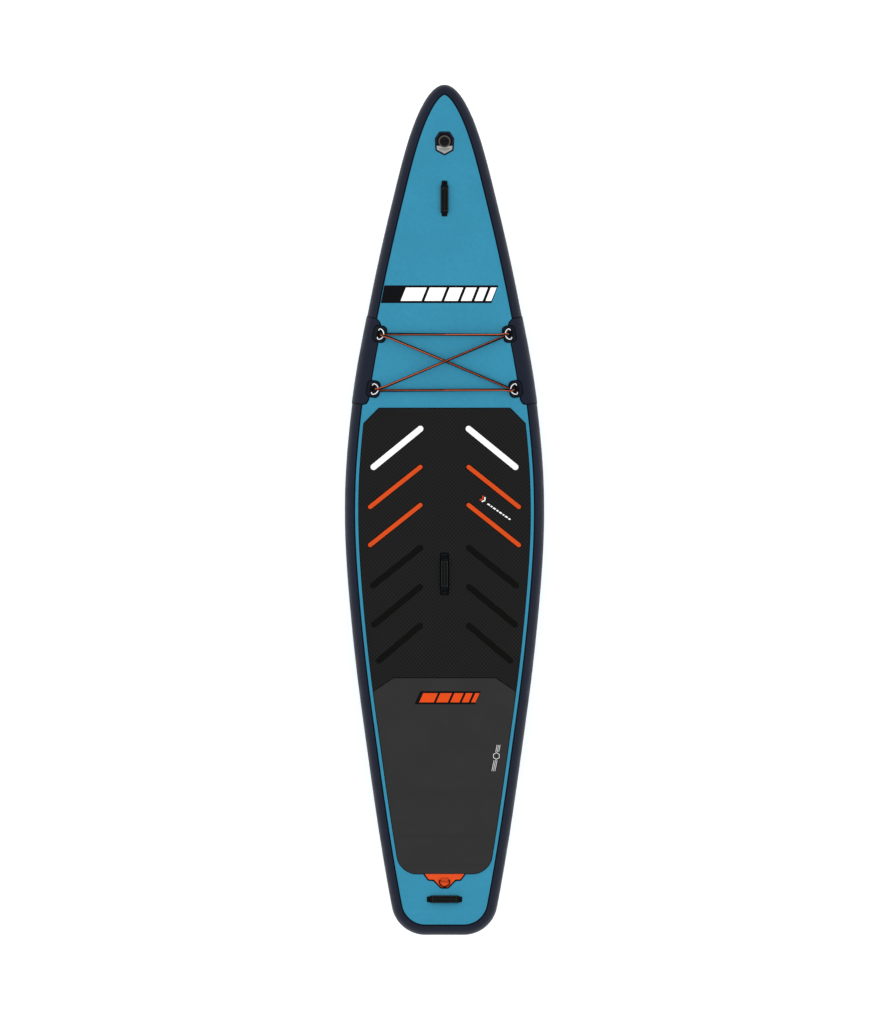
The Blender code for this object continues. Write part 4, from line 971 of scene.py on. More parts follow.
def front_outline(x, y):
    side = inset_of(x, y) - PAD_INSET
    chamfer_end = (pad_side_x(PAD_CHAMFER_Y), PAD_CHAMFER_Y)
    chamfer = beyond(np.abs(x), y, chamfer_end, (PAD_FRONT_HALF, PAD_FRONT_Y))
    return np.minimum(np.minimum(side, PAD_FRONT_Y - y), chamfer)


def in_front_pad(x, y):
    _, _, length, _, grip = HANDLES["centre_handle"]
    whole = np.minimum(front_outline(x, y), in_joint(x, y) - PAD_SEAM / 2)
    window = in_window(x, y, grip / 2 + 0.004, length / 2 + 0.004, 0.008)
    return np.minimum(np.minimum(whole, in_slots(x, y)), window)


def tail_outline(x, y):
    side, rear = inset_of(x, y) - PAD_INSET, y - PAD_TAIL_Y
    r = PAD_TAIL_CORNER_R
    rounded = r - np.hypot(np.maximum(r - side, 0), np.maximum(r - rear, 0))
    return np.where((side < r) & (rear < r), rounded, np.minimum(side, rear))


def in_tail_pad(x, y):
    return np.minimum(tail_outline(x, y), -in_joint(x, y) - PAD_SEAM / 2)


def in_pad_sheet(x, y):
    """The black backing under both pads: it shows in the slots, between the pads and round them."""
    rim, handle_length = 0.0028, HANDLES["centre_handle"][2]
    whole = np.where(np.asarray(y) > PAD_JOINT_Y, front_outline(x, y), tail_outline(x, y)) + rim
    return np.minimum(whole, in_window(x, y, WEBBING_WIDTH / 2 + 0.0013, handle_length / 2 - 0.0007, 0.005))


def snapped_grid(inside, y_range, spacing):
    """A grid's numbers, places and depths inside a cut. Points near the cut are moved onto it."""
    nx = int(0.42 / spacing[0])
    first, last = (int(math.floor(v / spacing[1])) for v in y_range)
    i, j = np.meshgrid(np.arange(-nx, nx + 1), np.arange(first, last + 1), indexing="ij")
    x, y = i * spacing[0], j * spacing[1]
    depth = inside(x, y)
    reach, h = max(spacing) / 2, 0.0002
    snapped = np.abs(depth) < reach
    for _ in range(2):
        px, py = x[snapped], y[snapped]
        here = inside(px, py)
        gx = (inside(px + h, py) - inside(px - h, py)) / (2 * h)
        gy = (inside(px, py + h) - inside(px, py - h)) / (2 * h)
        size = np.maximum(gx**2 + gy**2, 0.25)
        x[snapped], y[snapped] = px - here * gx / size, py - here * gy / size
    return i, j, x, y, np.where(snapped, 0.0, depth)


def triangles_inside(inside, i, j, x, y, depth):
    """The grid's triangles inside a cut. Squares are halved in turn, or the way that the cut's edge asks."""
    a, b, c, d = depth[:-1, :-1], depth[1:, :-1], depth[1:, 1:], depth[:-1, 1:]
    anti = (i[:-1, :-1] + j[:-1, :-1]) % 2 == 1
    anti = np.where((b == 0) & (d == 0) & ((a < 0) | (c < 0)), True, anti)
    anti = np.where((a == 0) & (c == 0) & ((b < 0) | (d < 0)), False, anti)
    number = np.arange(x.size).reshape(x.shape)
    na, nb, nc, nd = number[:-1, :-1], number[1:, :-1], number[1:, 1:], number[:-1, 1:]
    first_tri = np.where(anti[..., None], np.stack([na, nb, nd], -1), np.stack([na, nb, nc], -1))
    second_tri = np.where(anti[..., None], np.stack([nb, nc, nd], -1), np.stack([na, nc, nd], -1))
    tris = np.concatenate([first_tri.reshape(-1, 3), second_tri.reshape(-1, 3)])
    x, y, depth = x.ravel(), y.ravel(), depth.ravel()
    tris = tris[(depth[tris] >= 0).all(axis=1)]
    middle_x, middle_y = x[tris].mean(axis=1), y[tris].mean(axis=1)
    on_edge = (depth[tris] == 0).sum(axis=1) >= 2
    keep = np.ones(len(tris), bool)
    keep[on_edge] = inside(middle_x[on_edge], middle_y[on_edge]) > 0.00005
    area = (x[tris[:, 1]] - x[tris[:, 0]]) * (y[tris[:, 2]] - y[tris[:, 0]])
    area -= (x[tris[:, 2]] - x[tris[:, 0]]) * (y[tris[:, 1]] - y[tris[:, 0]])
    return tris[keep & (area > 1e-9)]


def foam_cut(name, inside, y_range, spacing, top, floor, paint, slot, replaces=(), relief=None,
             edge=0.0010):
    """A sheet of foam, cut where inside() is positive. relief gives the height of each grid point."""
    i, j, x, y, depth = snapped_grid(inside, y_range, spacing)
    used, tris = np.unique(triangles_inside(inside, i, j, x, y, depth), return_inverse=True)
    tris = tris.reshape(-1, 3)
    plan = np.column_stack([x.ravel()[used], y.ravel()[used]])
    inner = depth.ravel()[used]
    grid = np.column_stack([i.ravel()[used], j.ravel()[used]])
    ground = surface(plan[:, 0], plan[:, 1])
    lift = np.where(inner == 0, top - edge, top)
    if relief:
        lift = lift + np.where(inner > 0, relief(grid), 0.0)
    verts = np.column_stack([plan, ground + lift])
    edges = np.concatenate([tris[:, [0, 1]], tris[:, [1, 2]], tris[:, [2, 0]]])
    pairs = {tuple(e) for e in edges.tolist()}
    rim = [(p, q) for p, q in pairs if (q, p) not in pairs]
    rim_verts = sorted({p for e in rim for p in e})
    low = {p: len(verts) + n for n, p in enumerate(rim_verts)}
    feet = np.column_stack([plan[rim_verts], ground[rim_verts] + floor])
    faces = [tuple(t) for t in tris.tolist()]
    faces += [(q, p, low[p], low[q]) for p, q in rim]
    return piece(name, np.vstack([verts, feet]), faces, paint, "board", slot, replaces, 50)


def gator(grid):
    """Pressed diamonds: low where either diagonal line runs, four grid steps to a diamond."""
    p, q = (grid[:, 0] + grid[:, 1]) % 4, (grid[:, 0] - grid[:, 1]) % 4
    depth = np.minimum(np.minimum(p, 4 - p), np.minimum(q, 4 - q))
    return GATOR_HEIGHT * (np.array([0.0, 0.85, 1.0])[depth.astype(int)] - 1.0)


def make_pads(paints):
    fine = (GATOR_X / 4, GATOR_Y / 4)
    front_end, joint_front, joint_rear, tail_end = 0.43, -0.68, -0.76, -1.51
    foam_cut("front_pad", in_front_pad, (joint_rear, front_end), fine, PAD_TOP, PAD_FLOOR,
             paints["pad_front"], "pad_front", ["front_traction_pad"], gator)
    foam_cut("tail_pad", in_tail_pad, (tail_end, joint_front), (0.0060, 0.0060), PAD_TOP, PAD_FLOOR,
             paints["pad_tail"], "pad_tail", ["tail_traction_pad"])
    foam_cut("pad_backing", in_pad_sheet, (tail_end, front_end), (0.0070, 0.0070), PAD_SHEET_TOP,
             PAD_SHEET_BASE, paints["pad_sheet"], "pad_front", edge=0.0002)
    for number, (inner, outer, width, _, colour) in enumerate(PAD_BARS, 1):
        for side, flip in SIDES:
            start, end = Vector((inner[0] * flip, inner[1])), Vector((outer[0] * flip, outer[1]))
            make_bar(f"bar_{number}_{side}", start, end, width, paints["bar_" + colour], "bar_" + colour,
                     f"pad_bar_{number}_{side}")


def make_bar(name, start, end, width, paint, slot, node):
    """An inlaid bar with round ends and a rounded upper edge."""
    lean = math.degrees(math.atan2(end.y - start.y, end.x - start.x))
    rows, steps = [], 14
    for pull, height in rounded_edge(PAD_FLOOR, BAR_TOP, 0.0009):
        r = width / 2 - pull
        loop = arc(end, r, lean - 90, lean + 90, steps) + arc(start, r, lean + 90, lean + 270, steps)
        rows.append(laid(loop, height))
    count = len(rows[0])
    faces = strips(len(rows), count, True)
    last = (len(rows) - 1) * count
    half = count // 2
    for base, flip in ((last, False), (0, True)):
        for k in range(half - 1):
            quad = (base + k, base + k + 1, base + count - 2 - k, base + count - 1 - k)
            faces.append(tuple(reversed(quad)) if flip else quad)
    tidy(name, np.vstack(rows), faces, paint, "board", slot, [node])


# ---------------------------------------------------------------- rings, tabs and cord
def ring_path(tilt):
    half, r, straight = RING_WIDTH / 2, 0.006, 0.006
    points = [(0, y) for y in np.linspace(half - r, -half + r, 9)]
    points += arc((r, -half + r), r, 180, 270, 6)[1:]
    bow = arc((0, 0), 1.0, -90, 90, 28)[1:-1]
    points += [(straight + (RING_REACH - straight) * bx, half * by) for bx, by in bow]
    points += arc((r, half - r), r, 90, 180, 6)[:-1]
    return [(x * math.cos(tilt), y, x * math.sin(tilt)) for x, y in points]


def make_ring(name, node, tilt, place, paint):
    path = [place @ Vector(p) for p in ring_path(tilt)]
    verts, faces, _ = tube(path, RING_WIRE_R, closed=True, up=place.col[2][:3])
    piece(name, verts, faces, paint, node, "ring_steel", [node])


def make_tab(name, place, paint, paint_thread, slot, replaces=(), *, half_length, foot, bottom):
    """Webbing folded round a ring's bar and sewn down: a smooth loop over the bar, then two flat tails."""
    r = 0.0030
    inner = [(foot, bottom), (r * 1.5, bottom), (r * 1.12, bottom * 0.45)]
    inner += arc((0, 0), r, 0, 180, 12) + [(-r * 1.12, bottom * 0.45), (-r * 1.5, bottom), (-foot, bottom)]
    line = catmull(inner, 3)
    tangent = unit(np.gradient(line, axis=0))
    outward = np.stack([tangent[:, 1], -tangent[:, 0]], axis=1)
    outer = line + outward * WEBBING_TAB
    across = np.linspace(-half_length, half_length, 13)
    gone = gone_along(line)
    top, low, cloth = [], [], []
    for y in across:
        for (ox, oz), (ix, iz), u in zip(outer, line, gone):
            top.append(place @ Vector((ox, y, oz)))
            low.append(place @ Vector((ix, y, iz)))
            cloth.append((u, y))
    faces = strips(len(across), len(line), False)
    verts, solid = thick(np.array(top), np.array(low), faces)
    piece(name, verts, facing_out(verts, solid), paint, "board", slot, replaces, 40,
          np.vstack([cloth, cloth]))
    reach, z = half_length - 0.002, bottom + WEBBING_TAB + 0.0001
    lines = [((x, -reach, z), (x, reach, z)) for x in (foot - 0.0018, -foot + 0.0018, foot - 0.0045)]
    stitch_rows(name + "_stitching", lines, place, "board", slot, paint_thread,
                length=0.0024, gap=0.0010, thick_r=0.00032)


def make_bungee_fittings(paints):
    centre, half_x, half_y, corner_r, border = 0.004, 0.0290, 0.0360, 0.0200, 0.0045
    for name, (x, y) in BUNGEE_RINGS.items():
        flat = ring_frame(x, y, 0.0)
        bar = ring_frame(x, y, RING_PATCH_BASE + RING_PATCH + RING_LIFT)
        outline = [(u + centre, v) for u, v in rounded_rectangle(half_x, half_y, corner_r, 10)]
        sheet(f"ring_patch_{name}", outline, flat, paints["tape"], "ring_patch", [f"bungee_patch_{name}"],
              base=RING_PATCH_BASE, thickness=RING_PATCH, edge=0.0010)
        inner = rounded_rectangle(half_x - border, half_y - border, corner_r - border, 10)
        inset = [(u + centre, v) for u, v in inner]
        sheet(f"ring_pad_{name}", inset, flat, paints["patch"], "ring_patch",
              base=RING_PATCH_BASE + RING_PATCH, thickness=0.0003, edge=0.0002)
        make_tab(f"ring_tab_{name}", bar, paints["webbing"], paints["thread_black"], "webbing",
                 half_length=0.0135, foot=0.0105, bottom=-RING_LIFT + 0.0003)
        make_ring(f"d_ring_{name}", f"bungee_ring_{name}", BUNGEE_RING_TILT, bar, paints["steel"])


CORD_WRAP_R = RING_WIRE_R + CORD_R + 0.0011


def bungee_stops():
    """Each ring's bow, the way outwards from it, and the way along the rail."""
    reach, rise = RING_REACH * math.cos(BUNGEE_RING_TILT), RING_REACH * math.sin(BUNGEE_RING_TILT)
    stops = {}
    for name, (x, y) in BUNGEE_RINGS.items():
        place = ring_frame(x, y, RING_PATCH_BASE + RING_PATCH + RING_LIFT)
        bow = place @ Vector((reach, 0, rise))
        outward = Vector((-place.col[0].x, -place.col[0].y, 0)).normalized()
        stops[name] = (bow, outward, Vector((-outward.y, outward.x, 0)))
    return stops


def bungee_route(stops, order):
    """The cord's turn round each ring, and its strand from there towards the next."""
    half_spread, clear_of_bends = 0.0035, 0.06
    crossing = {"front_right": 0.0080, "rear_right": -0.0045}
    wraps, strands = {}, {}
    for k, name in enumerate(order):
        bow, outward, along = stops[name]
        before, after = stops[order[k - 1]][0], stops[order[(k + 1) % 4]][0]
        side = math.copysign(1, (before - after).dot(along))
        turn = []
        for deg in (90, 60, 30, 0, -30, -60, -90):
            a = math.radians(deg)
            lifted = outward * CORD_WRAP_R * math.cos(a) + Vector((0, 0, CORD_WRAP_R * math.sin(a)))
            turn.append(bow + lifted + along * side * half_spread * deg / 90)
        wraps[name] = turn
        start, target = turn[-1], after + Vector((0, 0, CORD_WRAP_R))
        hump = crossing.get(name, 0.0)
        strands[name] = [start + (target - start) * t + Vector((0, 0, hump * math.sin(math.pi * t)))
                         for t in np.linspace(clear_of_bends, 1 - clear_of_bends, 23)]
    return wraps, strands


def make_bungee(paints):
    """One closed elastic loop, made as four corners that meet half way along each strand."""
    stops, order = bungee_stops(), list(BUNGEE_RINGS)
    wraps, strands = bungee_route(stops, order)
    for k, name in enumerate(order):
        incoming, leaving = strands[order[k - 1]], strands[name]
        half = len(leaving) // 2
        path = catmull(incoming[half:] + wraps[name] + leaving[: half + 1], 3)
        verts, faces, cloth = tube(path, CORD_R + 0.0004, 20, level=True)
        made = piece(f"bungee_{name}", verts, facing_out(verts, faces), paints["bungee"], None, "bungee",
                     cloth=cloth, smooth_deg=60)
        bow, outward, _ = stops[name]
        start, end = bow - outward * 0.110, bow - outward * 0.004
        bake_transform(made, "board", f"bungee_ring_{name}", start=start, end=end)
        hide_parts("bungee_cord")


def make_leash_point(paints):
    front = PAD_TAIL_Y - 0.001
    half = [(0.088, front), (0.0674, -1.529), (0.0468, -1.529), (0.0155, -1.561)]
    corners = half + [(-x, y) for x, y in reversed(half)]
    sides = len(corners) - 1
    layers = []
    for inset, r in ((-0.0010, 0.006), (0.0048, 0.003)):
        moved = inset_corners(corners, [inset] * sides + [0.0])
        layers.append(resampled(rounded_polygon(moved, r, 5), 96))
    flat = Matrix.Identity(4)
    sheet("leash_border", layers[0], flat, paints["tape"], "seam_tape",
          base=0.0002, thickness=0.0006, edge=0.0003, rings=6)
    sheet("leash_base", layers[1], flat, paints["leash"], "leash_pvc", ["leash_patch"],
          base=0.0008, thickness=0.0012, edge=0.0006, rings=6)
    place = frame_on(0, LEASH_RING_Y, -math.pi / 2) @ Matrix.Translation((0, 0, LEASH_RING_LIFT))
    make_tab("leash_loop", place, paints["leash_webbing"], paints["thread_orange"], "leash_webbing",
             ["leash_tab"], half_length=0.0150, foot=0.0105, bottom=-RING_LIFT + 0.0002)
    make_ring("leash_d_ring", "leash_ring", 0.0, place, paints["steel_dark"])


# ---------------------------------------------------------------- handles
def make_handle(name, spec, paints):
    (x, y), turn, length, grip_length, grip_width = spec
    place = frame_on(x, y, turn)
    base, base_thickness = 0.0004, 0.0013
    half = length / 2
    pad_half = half - 0.002
    outline = rounded_rectangle(WEBBING_WIDTH / 2 + 0.0010, pad_half + 0.0010, 0.0045)
    sheet(name + "_patch", resampled(outline, 72), place, paints["tape"], "ring_patch", [name + "_base"],
          base=base, thickness=base_thickness, edge=0.0006, rings=4)
    make_straps(name, place, half, grip_length, base + base_thickness + 0.0005, paints)
    make_grip(name, place, grip_length, grip_width, paints)


def make_straps(name, place, half, grip_length, low, paints):
    """Webbing from each sewn foot up into the grip, where the two halves meet."""
    pad_half, foot, level = half - 0.002, half - 0.009, grip_length / 2 + 0.0006
    profile = [(pad_half, low), (pad_half - 0.003, low), (foot + 0.0005, low + 0.0001),
               ((foot + level) / 2, (low + HANDLE_RISE) / 2), (level, HANDLE_RISE - 0.0002),
               (level - 0.006, HANDLE_RISE), (level - 0.020, HANDLE_RISE)]
    line = catmull(profile, 5)
    gone = gone_along(line)
    across = np.linspace(-WEBBING_WIDTH / 2, WEBBING_WIDTH / 2, 15)
    for end, flip in (("a", 1), ("b", -1)):
        top, under, cloth = [], [], []
        for u in across:
            rim = 0.0004 * max(abs(u) / (WEBBING_WIDTH / 2) - 0.8, 0) / 0.2
            for (v, z), along in zip(line, gone):
                top.append(place @ Vector((u, v * flip, z + WEBBING - rim)))
                under.append(place @ Vector((u, v * flip, z + rim)))
                cloth.append((along, u))
        verts, solid = thick(np.array(top), np.array(under), strips(len(across), len(line), False))
        made = piece(f"{name}_strap_{end}", verts, facing_out(verts, solid), paints["webbing"], None,
                     "webbing", cloth=np.vstack([cloth, cloth]))
        start = place @ Vector((0, foot * flip, low))
        stop = place @ Vector((0, (level - 0.001) * flip, low))
        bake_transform(made, "board", name + "_grip", start=start, end=stop)
        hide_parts(name + "_webbing")
        z = low + WEBBING + 0.0001
        sewn = WEBBING_WIDTH / 2 - 0.0020
        rows = []
        for d in (0.0016, 0.0042):
            v = (pad_half - d) * flip
            rows.append(((-sewn, v, z), (sewn, v, z)))
        stitch_rows(f"{name}_stitching_{end}", rows, place, "board", "webbing", paints["thread_black"],
                    length=0.0026, gap=0.0010)


def make_sleeve(name, place, length, width, middle, half_height, paint):
    """Padded neoprene: a soft oval, gathered at both ends and pinched in down each side."""
    sides, power, full = 36, 2.6, 0.86
    end_width, end_height = WEBBING_WIDTH / 2 + 0.0008, 0.0020
    shares = np.concatenate([np.linspace(-1, -full, 8)[:-1], np.linspace(-full, full, 21),
                             np.linspace(full, 1, 8)[1:]])
    rows, cloth = [], []
    for share in shares:
        end = max((abs(share) - full) / (1 - full), 0.0)
        swell = math.sqrt(max(1 - end**2.2, 0.0))
        wide = end_width + (width / 2 - end_width) * swell
        tall = end_height + (half_height - end_height) * swell * (1 + 0.04 * math.cos(math.pi * share))
        for k in range(sides):
            a = 2 * math.pi * k / sides
            c, s = math.cos(a), math.sin(a)
            u = math.copysign(abs(c) ** (2 / power), c) * wide
            z = math.copysign(abs(s) ** (2 / power), s) * tall
            pinch = 0.0006 * math.exp(-((abs(s) / 0.18) ** 2))
            u -= math.copysign(pinch, u)
            rows.append(place @ Vector((u, share * length / 2, middle + z)))
            cloth.append((share * length / 2, a / (2 * math.pi) * 0.07))
    faces = strips(len(shares), sides, True) + end_caps(len(shares), sides)
    piece(name + "_sleeve", rows, facing_out(rows, faces), paint, name + "_grip", "grip",
          [name + "_grip"], 50, cloth)


def make_grip(name, place, length, width, paints):
    """The sleeve, a rubber strip along its top, and the seams round it."""
    middle, half_height = HANDLE_RISE + WEBBING / 2, 0.0060
    make_sleeve(name, place, length, width, middle, half_height, paints["grip"])
    strip = rounded_rectangle(0.0036, length / 2 * 0.76, 0.0030)
    levels = ((1.0, -0.0008), (1.0, 0.0004), (0.86, 0.0009))
    loops = [[place @ Vector((u * k, v * (1 - (1 - k) * 0.06), middle + half_height + z)) for u, v in strip]
             for k, z in levels]
    faces = strips(len(loops), len(strip), True) + end_caps(len(loops), len(strip))
    points = [p for loop in loops for p in loop]
    tidy(name + "_spine", points, faces, paints["gasket"], name + "_grip", "gasket")
    lines = []
    shoulder, crown = middle + half_height * 0.93, middle + half_height
    side = width / 2 - 0.005
    for flip in (1, -1):
        edge, reach = (width / 2 - 0.0034) * flip, length / 2 * 0.84
        lines.append(((edge, -reach, shoulder), (edge, reach, shoulder)))
        seam = length / 2 * 0.80 * flip
        lines.append(((-side, seam, crown), (side, seam, crown)))
    stitch_rows(name + "_seam", lines, place, name + "_grip", "grip", paints["thread_grey"],
                length=0.0028, gap=0.0012)


# ---------------------------------------------------------------- valve
PLATE_R = 0.0262
SHIELD = ((0.0215, 0.0396), (0.0405, 0.0110), (0.0375, -0.0396), (0.0, -0.0598))
FIELD = ((0.0175, 0.0325), (0.0330, 0.0090), (0.0308, -0.0350), (0.0, -0.0515))


def shield_loop(half, r):
    return rounded_polygon([*half, *((-x, y) for x, y in reversed(half[:3]))], r, 5)


def loop_by_angle(loop, count):
    """A loop's points at evenly spaced directions from its origin, so that a round hole can face it."""
    dense = resampled(loop, 1200)
    angles = np.unwrap(np.arctan2(dense[:, 1], dense[:, 0]))
    if angles[-1] < angles[0]:
        dense, angles = dense[::-1], angles[::-1]
    wanted = np.linspace(0, 2 * math.pi, count, endpoint=False)
    gone = (wanted - angles[0]) % (2 * math.pi) + angles[0]
    return np.stack([np.interp(gone, angles, dense[:, k]) for k in range(2)], axis=1)


def make_valve(paints):
    place = frame_on(0, VALVE_Y)
    make_valve_patch(paints)
    make_valve_spring(paints, place)
    make_valve_flange(paints, place)
    make_valve_cap(paints, place)


def make_valve_patch(paints):
    """A navy shield, a black field on it, and a pale plate that fills the field below the flange."""
    plan, count = Matrix.Translation((0, VALVE_Y, 0)), 96
    angles = np.linspace(0, 2 * math.pi, count, endpoint=False)
    circle = np.stack([np.cos(angles), np.sin(angles)], axis=1)
    shield = loop_by_angle(shield_loop(SHIELD, 0.004), count)
    sheet("valve_shield", shield, plan, paints["patch_navy"], "rail_pvc", ["valve_patch"],
          base=0.0003, thickness=0.0017, edge=0.0007, hole=circle * 0.0178)
    field = loop_by_angle(shield_loop(FIELD, 0.003), count)
    sheet("valve_field", field, plan, paints["ink_black"], "label",
          base=0.0021, thickness=0.0004, edge=0.0002, rings=4, hole=circle * 0.0254)
    flank = [(0.0324, -0.0195), (0.0309, -0.0350), (0.0, -0.0514)]
    plate = flank + [(-x, y) for x, y in reversed(flank[:2])] + arc((0, 0), PLATE_R, 228, 312, 14)
    sheet("valve_plate", resampled(plate, 160), plan, paints["label"], "label", ["valve_label"],
          base=0.0027, thickness=0.0003, edge=0.00015)
    marks = ((-0.0306, 0.0240), (-0.0352, 0.0190), (-0.0398, 0.0120))
    for number, (level, reach) in enumerate(marks, 1):
        y = VALVE_Y + level
        ink_strip(f"valve_mark_{number}", (-reach, y), (reach, y), paints["ink_grey"], "label",
                  half_depth=0.0009, slant=0.0006, height=0.00305)


def make_valve_flange(paints, place):
    """The barrel's flange, with grip notches round it."""
    profile = [(0.0150, 0.0052), (0.0152, 0.0056), (0.0235, 0.0056), (0.0245, 0.0051), (0.0250, 0.0040),
               (0.0250, 0.0026), (0.0150, 0.0026)]
    notches = 24
    lathe_piece("valve_flange", profile, 144, place, paints["valve"], "board", "valve_plastic", (),
                lambda r, z, a: (r - 0.0007 * (math.cos(notches * a) > 0.4) * (r > 0.0243), z))


def make_valve_cap(paints, place):
    """A ribbed cap with a bar across it to turn it by."""
    profile = [(0.0, 0.0128), (0.0085, 0.0128), (0.0120, 0.0130), (0.0142, 0.0137), (0.0165, 0.0140),
               (0.0182, 0.0134), (0.0192, 0.0122), (0.0196, 0.0105), (0.0199, 0.0078), (0.0196, 0.0072),
               (0.0136, 0.0072), (0.0136, 0.0012), (0.0134, 0.0010), (0.0118, 0.0010), (0.0116, 0.0012),
               (0.0116, 0.0090), (0.0, 0.0090)]
    ribs = 18
    lathe_piece("valve_cap_shell", profile, 144, place, paints["valve_dark"], "valve_cap", "valve_dark",
                ["valve_cap"], lambda r, z, a: (r - 0.0006 * (math.cos(ribs * a) > 0.2) * (r > 0.0188), z))
    grip = [(0.0155, 0.0004), (0.0150, 0.0016), (0.0120, 0.0024), (0.0060, 0.0028), (0.0, 0.0030)]
    outline = grip + [(-x, y) for x, y in reversed(grip[:-1])]
    outline += [(x, -y) for x, y in reversed(outline)][1:-1]
    levels = ((1.0, 0.0120), (1.0, 0.0166), (0.96, 0.0175), (0.88, 0.0180))
    rows = [[place @ Vector((x * k, y * k, z)) for x, y in outline] for k, z in levels]
    verts = [p for row in rows for p in row]
    faces = strips(len(rows), len(outline), True) + end_caps(len(rows), len(outline))
    tidy("valve_cap_bar", verts, faces, paints["valve_dark"], "valve_cap", "valve_dark")


def make_valve_spring(paints, place):
    """A coil between the barrel's web and the stem's collar, fixed to the board at its rest length."""
    turns, per_turn, low, high, stroke = 4, 20, -0.0290, -0.0114, 0.0060
    coil_r, wire_r = 0.0042, 0.0005
    path = []
    for share in np.linspace(0, 1, turns * per_turn + 1):
        a = 2 * math.pi * turns * share
        z = low + (high - low) * share
        path.append(place @ Vector((coil_r * math.cos(a), coil_r * math.sin(a), z)))
    verts, faces, _ = tube(path, wire_r, 10)
    made = tidy("valve_spring_coil", verts, faces, paints["steel"], "board", "ring_steel", ["valve_spring"])
    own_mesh(made)


def lathe_piece(name, profile, segments, place, paint, body, slot, replaces=(), shape=None):
    """A profile of (radius, height) turned about the local Z axis. A radius of 0 lies on the axis."""
    rows = []
    for r, z in profile:
        row = []
        for k in range(segments):
            a = 2 * math.pi * k / segments
            rr, zz = shape(r, z, a) if shape else (r, z)
            row.append(place @ Vector((rr * math.cos(a), rr * math.sin(a), zz)))
        rows.append(row)
    verts = [p for row in rows for p in row]
    faces = strips(len(rows), segments, True)
    if profile[0][0] > 0:
        faces += last_to_first(len(rows), segments)
    tidy(name, verts, faces, paint, body, slot, replaces, smooth_deg=28)


# ---------------------------------------------------------------- printed graphics
def ink_layer(name, plan, faces, height, thickness, paint, slot):
    verts, solid = thick(laid(plan, height + thickness), laid(plan, height), faces)
    tidy(name, verts, solid, paint, "board", slot)


def ink_strip(name, start, end, paint, slot, *, half_depth, slant, height, thickness=0.00012):
    """A slanted bar of ink laid on the deck from start to end, in steps that follow the board."""
    start, end = np.array(start, float), np.array(end, float)
    way = (end - start) / np.linalg.norm(end - start)
    across = np.array([-way[1], way[0]])
    length = np.linalg.norm(end - start)
    nu, nv = max(int(length / 0.005), 2), max(int(2 * half_depth / 0.006), 3)
    plan = []
    for u in np.linspace(0, 1, nu + 1):
        for v in np.linspace(-1, 1, nv + 1):
            plan.append(start + way * (u * length + v * slant) + across * v * half_depth)
    faces = [tuple(reversed(f)) for f in strips(nu + 1, nv + 1, False)]
    ink_layer(name, plan, faces, height, thickness, paint, slot)


def ink_row(name, start, way, widths, gap, paint, slot, **sizes):
    """Numbered bars of ink in a row, with the same gap after each."""
    start, way = np.array(start, float), np.array(way, float)
    for number, wide in enumerate(widths, 1):
        ink_strip(f"{name}_{number}", start, start + way * wide, paint, slot, **sizes)
        start = start + way * (wide + gap)


def make_graphics(paints):
    """Plain slanted stripes and a hexagon: generic marks where the board carries its print."""
    make_nose_band(paints)
    y, top = -0.775, PAD_TOP
    ink_strip("tail_band", (-0.112, y), (0.138, y), paints["ink_black"], "pad_tail",
              half_depth=0.0270, slant=0.012, height=top + 0.00002)
    ink_row("tail_stripe", (-0.096, y), (1, 0), (0.060, 0.048, 0.038, 0.028, 0.018), 0.010,
            paints["ink_orange"], "pad_tail", half_depth=0.0190, slant=0.0085, height=top + 0.00016)
    make_pad_mark(paints)
    make_hexagon(paints, (0.2139, -1.0150))


def make_pad_mark(paints):
    """A white and an orange chevron, then a row of short dashes along the front pad's outer bar."""
    low = PAD_TOP + 0.0001
    way = np.array([0.089, -0.062])
    way /= np.linalg.norm(way)
    across = np.array([-way[1], way[0]])
    for ink, back in (("white", 0.0), ("orange", 0.0100)):
        tip = np.array([0.1665, 0.0385]) - way * back
        for side, flip in (("a", 1), ("b", -1)):
            end = tip - way * 0.0078 + across * 0.0115 * flip
            ink_strip(f"pad_chevron_{ink}_{side}", tip, end, paints["ink_" + ink], "pad_front",
                      half_depth=0.0023, slant=0.0, height=low, thickness=0.0002)
    widths = (0.012, 0.007, 0.012, 0.009) * 2
    ink_row("pad_dash", (0.177, 0.025), way, widths, 0.0050, paints["ink_white"], "pad_front",
            half_depth=0.0029, slant=0.0012, height=low, thickness=0.0002)


def make_nose_band(paints):
    """A black band from the deck's left edge, and six white stripes that get shorter to the right."""
    y, half, right, slant = 0.8885, 0.0365, 0.208, 0.014
    edge, rows, steps = side_line(0.0445), 14, 84
    plan = []
    for v in np.linspace(-1, 1, rows + 1):
        level = y + v * half
        left = -np.interp(-level, -edge[:, 1], edge[:, 0])
        plan += [(x, level) for x in np.linspace(left, right + slant * v, steps + 1)]
    faces = strips(rows + 1, steps + 1, False)
    ink_layer("nose_band", plan, faces, 0.00015, 0.00012, paints["ink_black"], "deck_pvc")
    ink_row("nose_stripe", (-0.170, y), (1, 0), (0.086, 0.070, 0.056, 0.044, 0.034, 0.024), 0.012,
            paints["ink_white"], "deck_pvc", half_depth=0.0275, slant=0.011, height=0.00035)


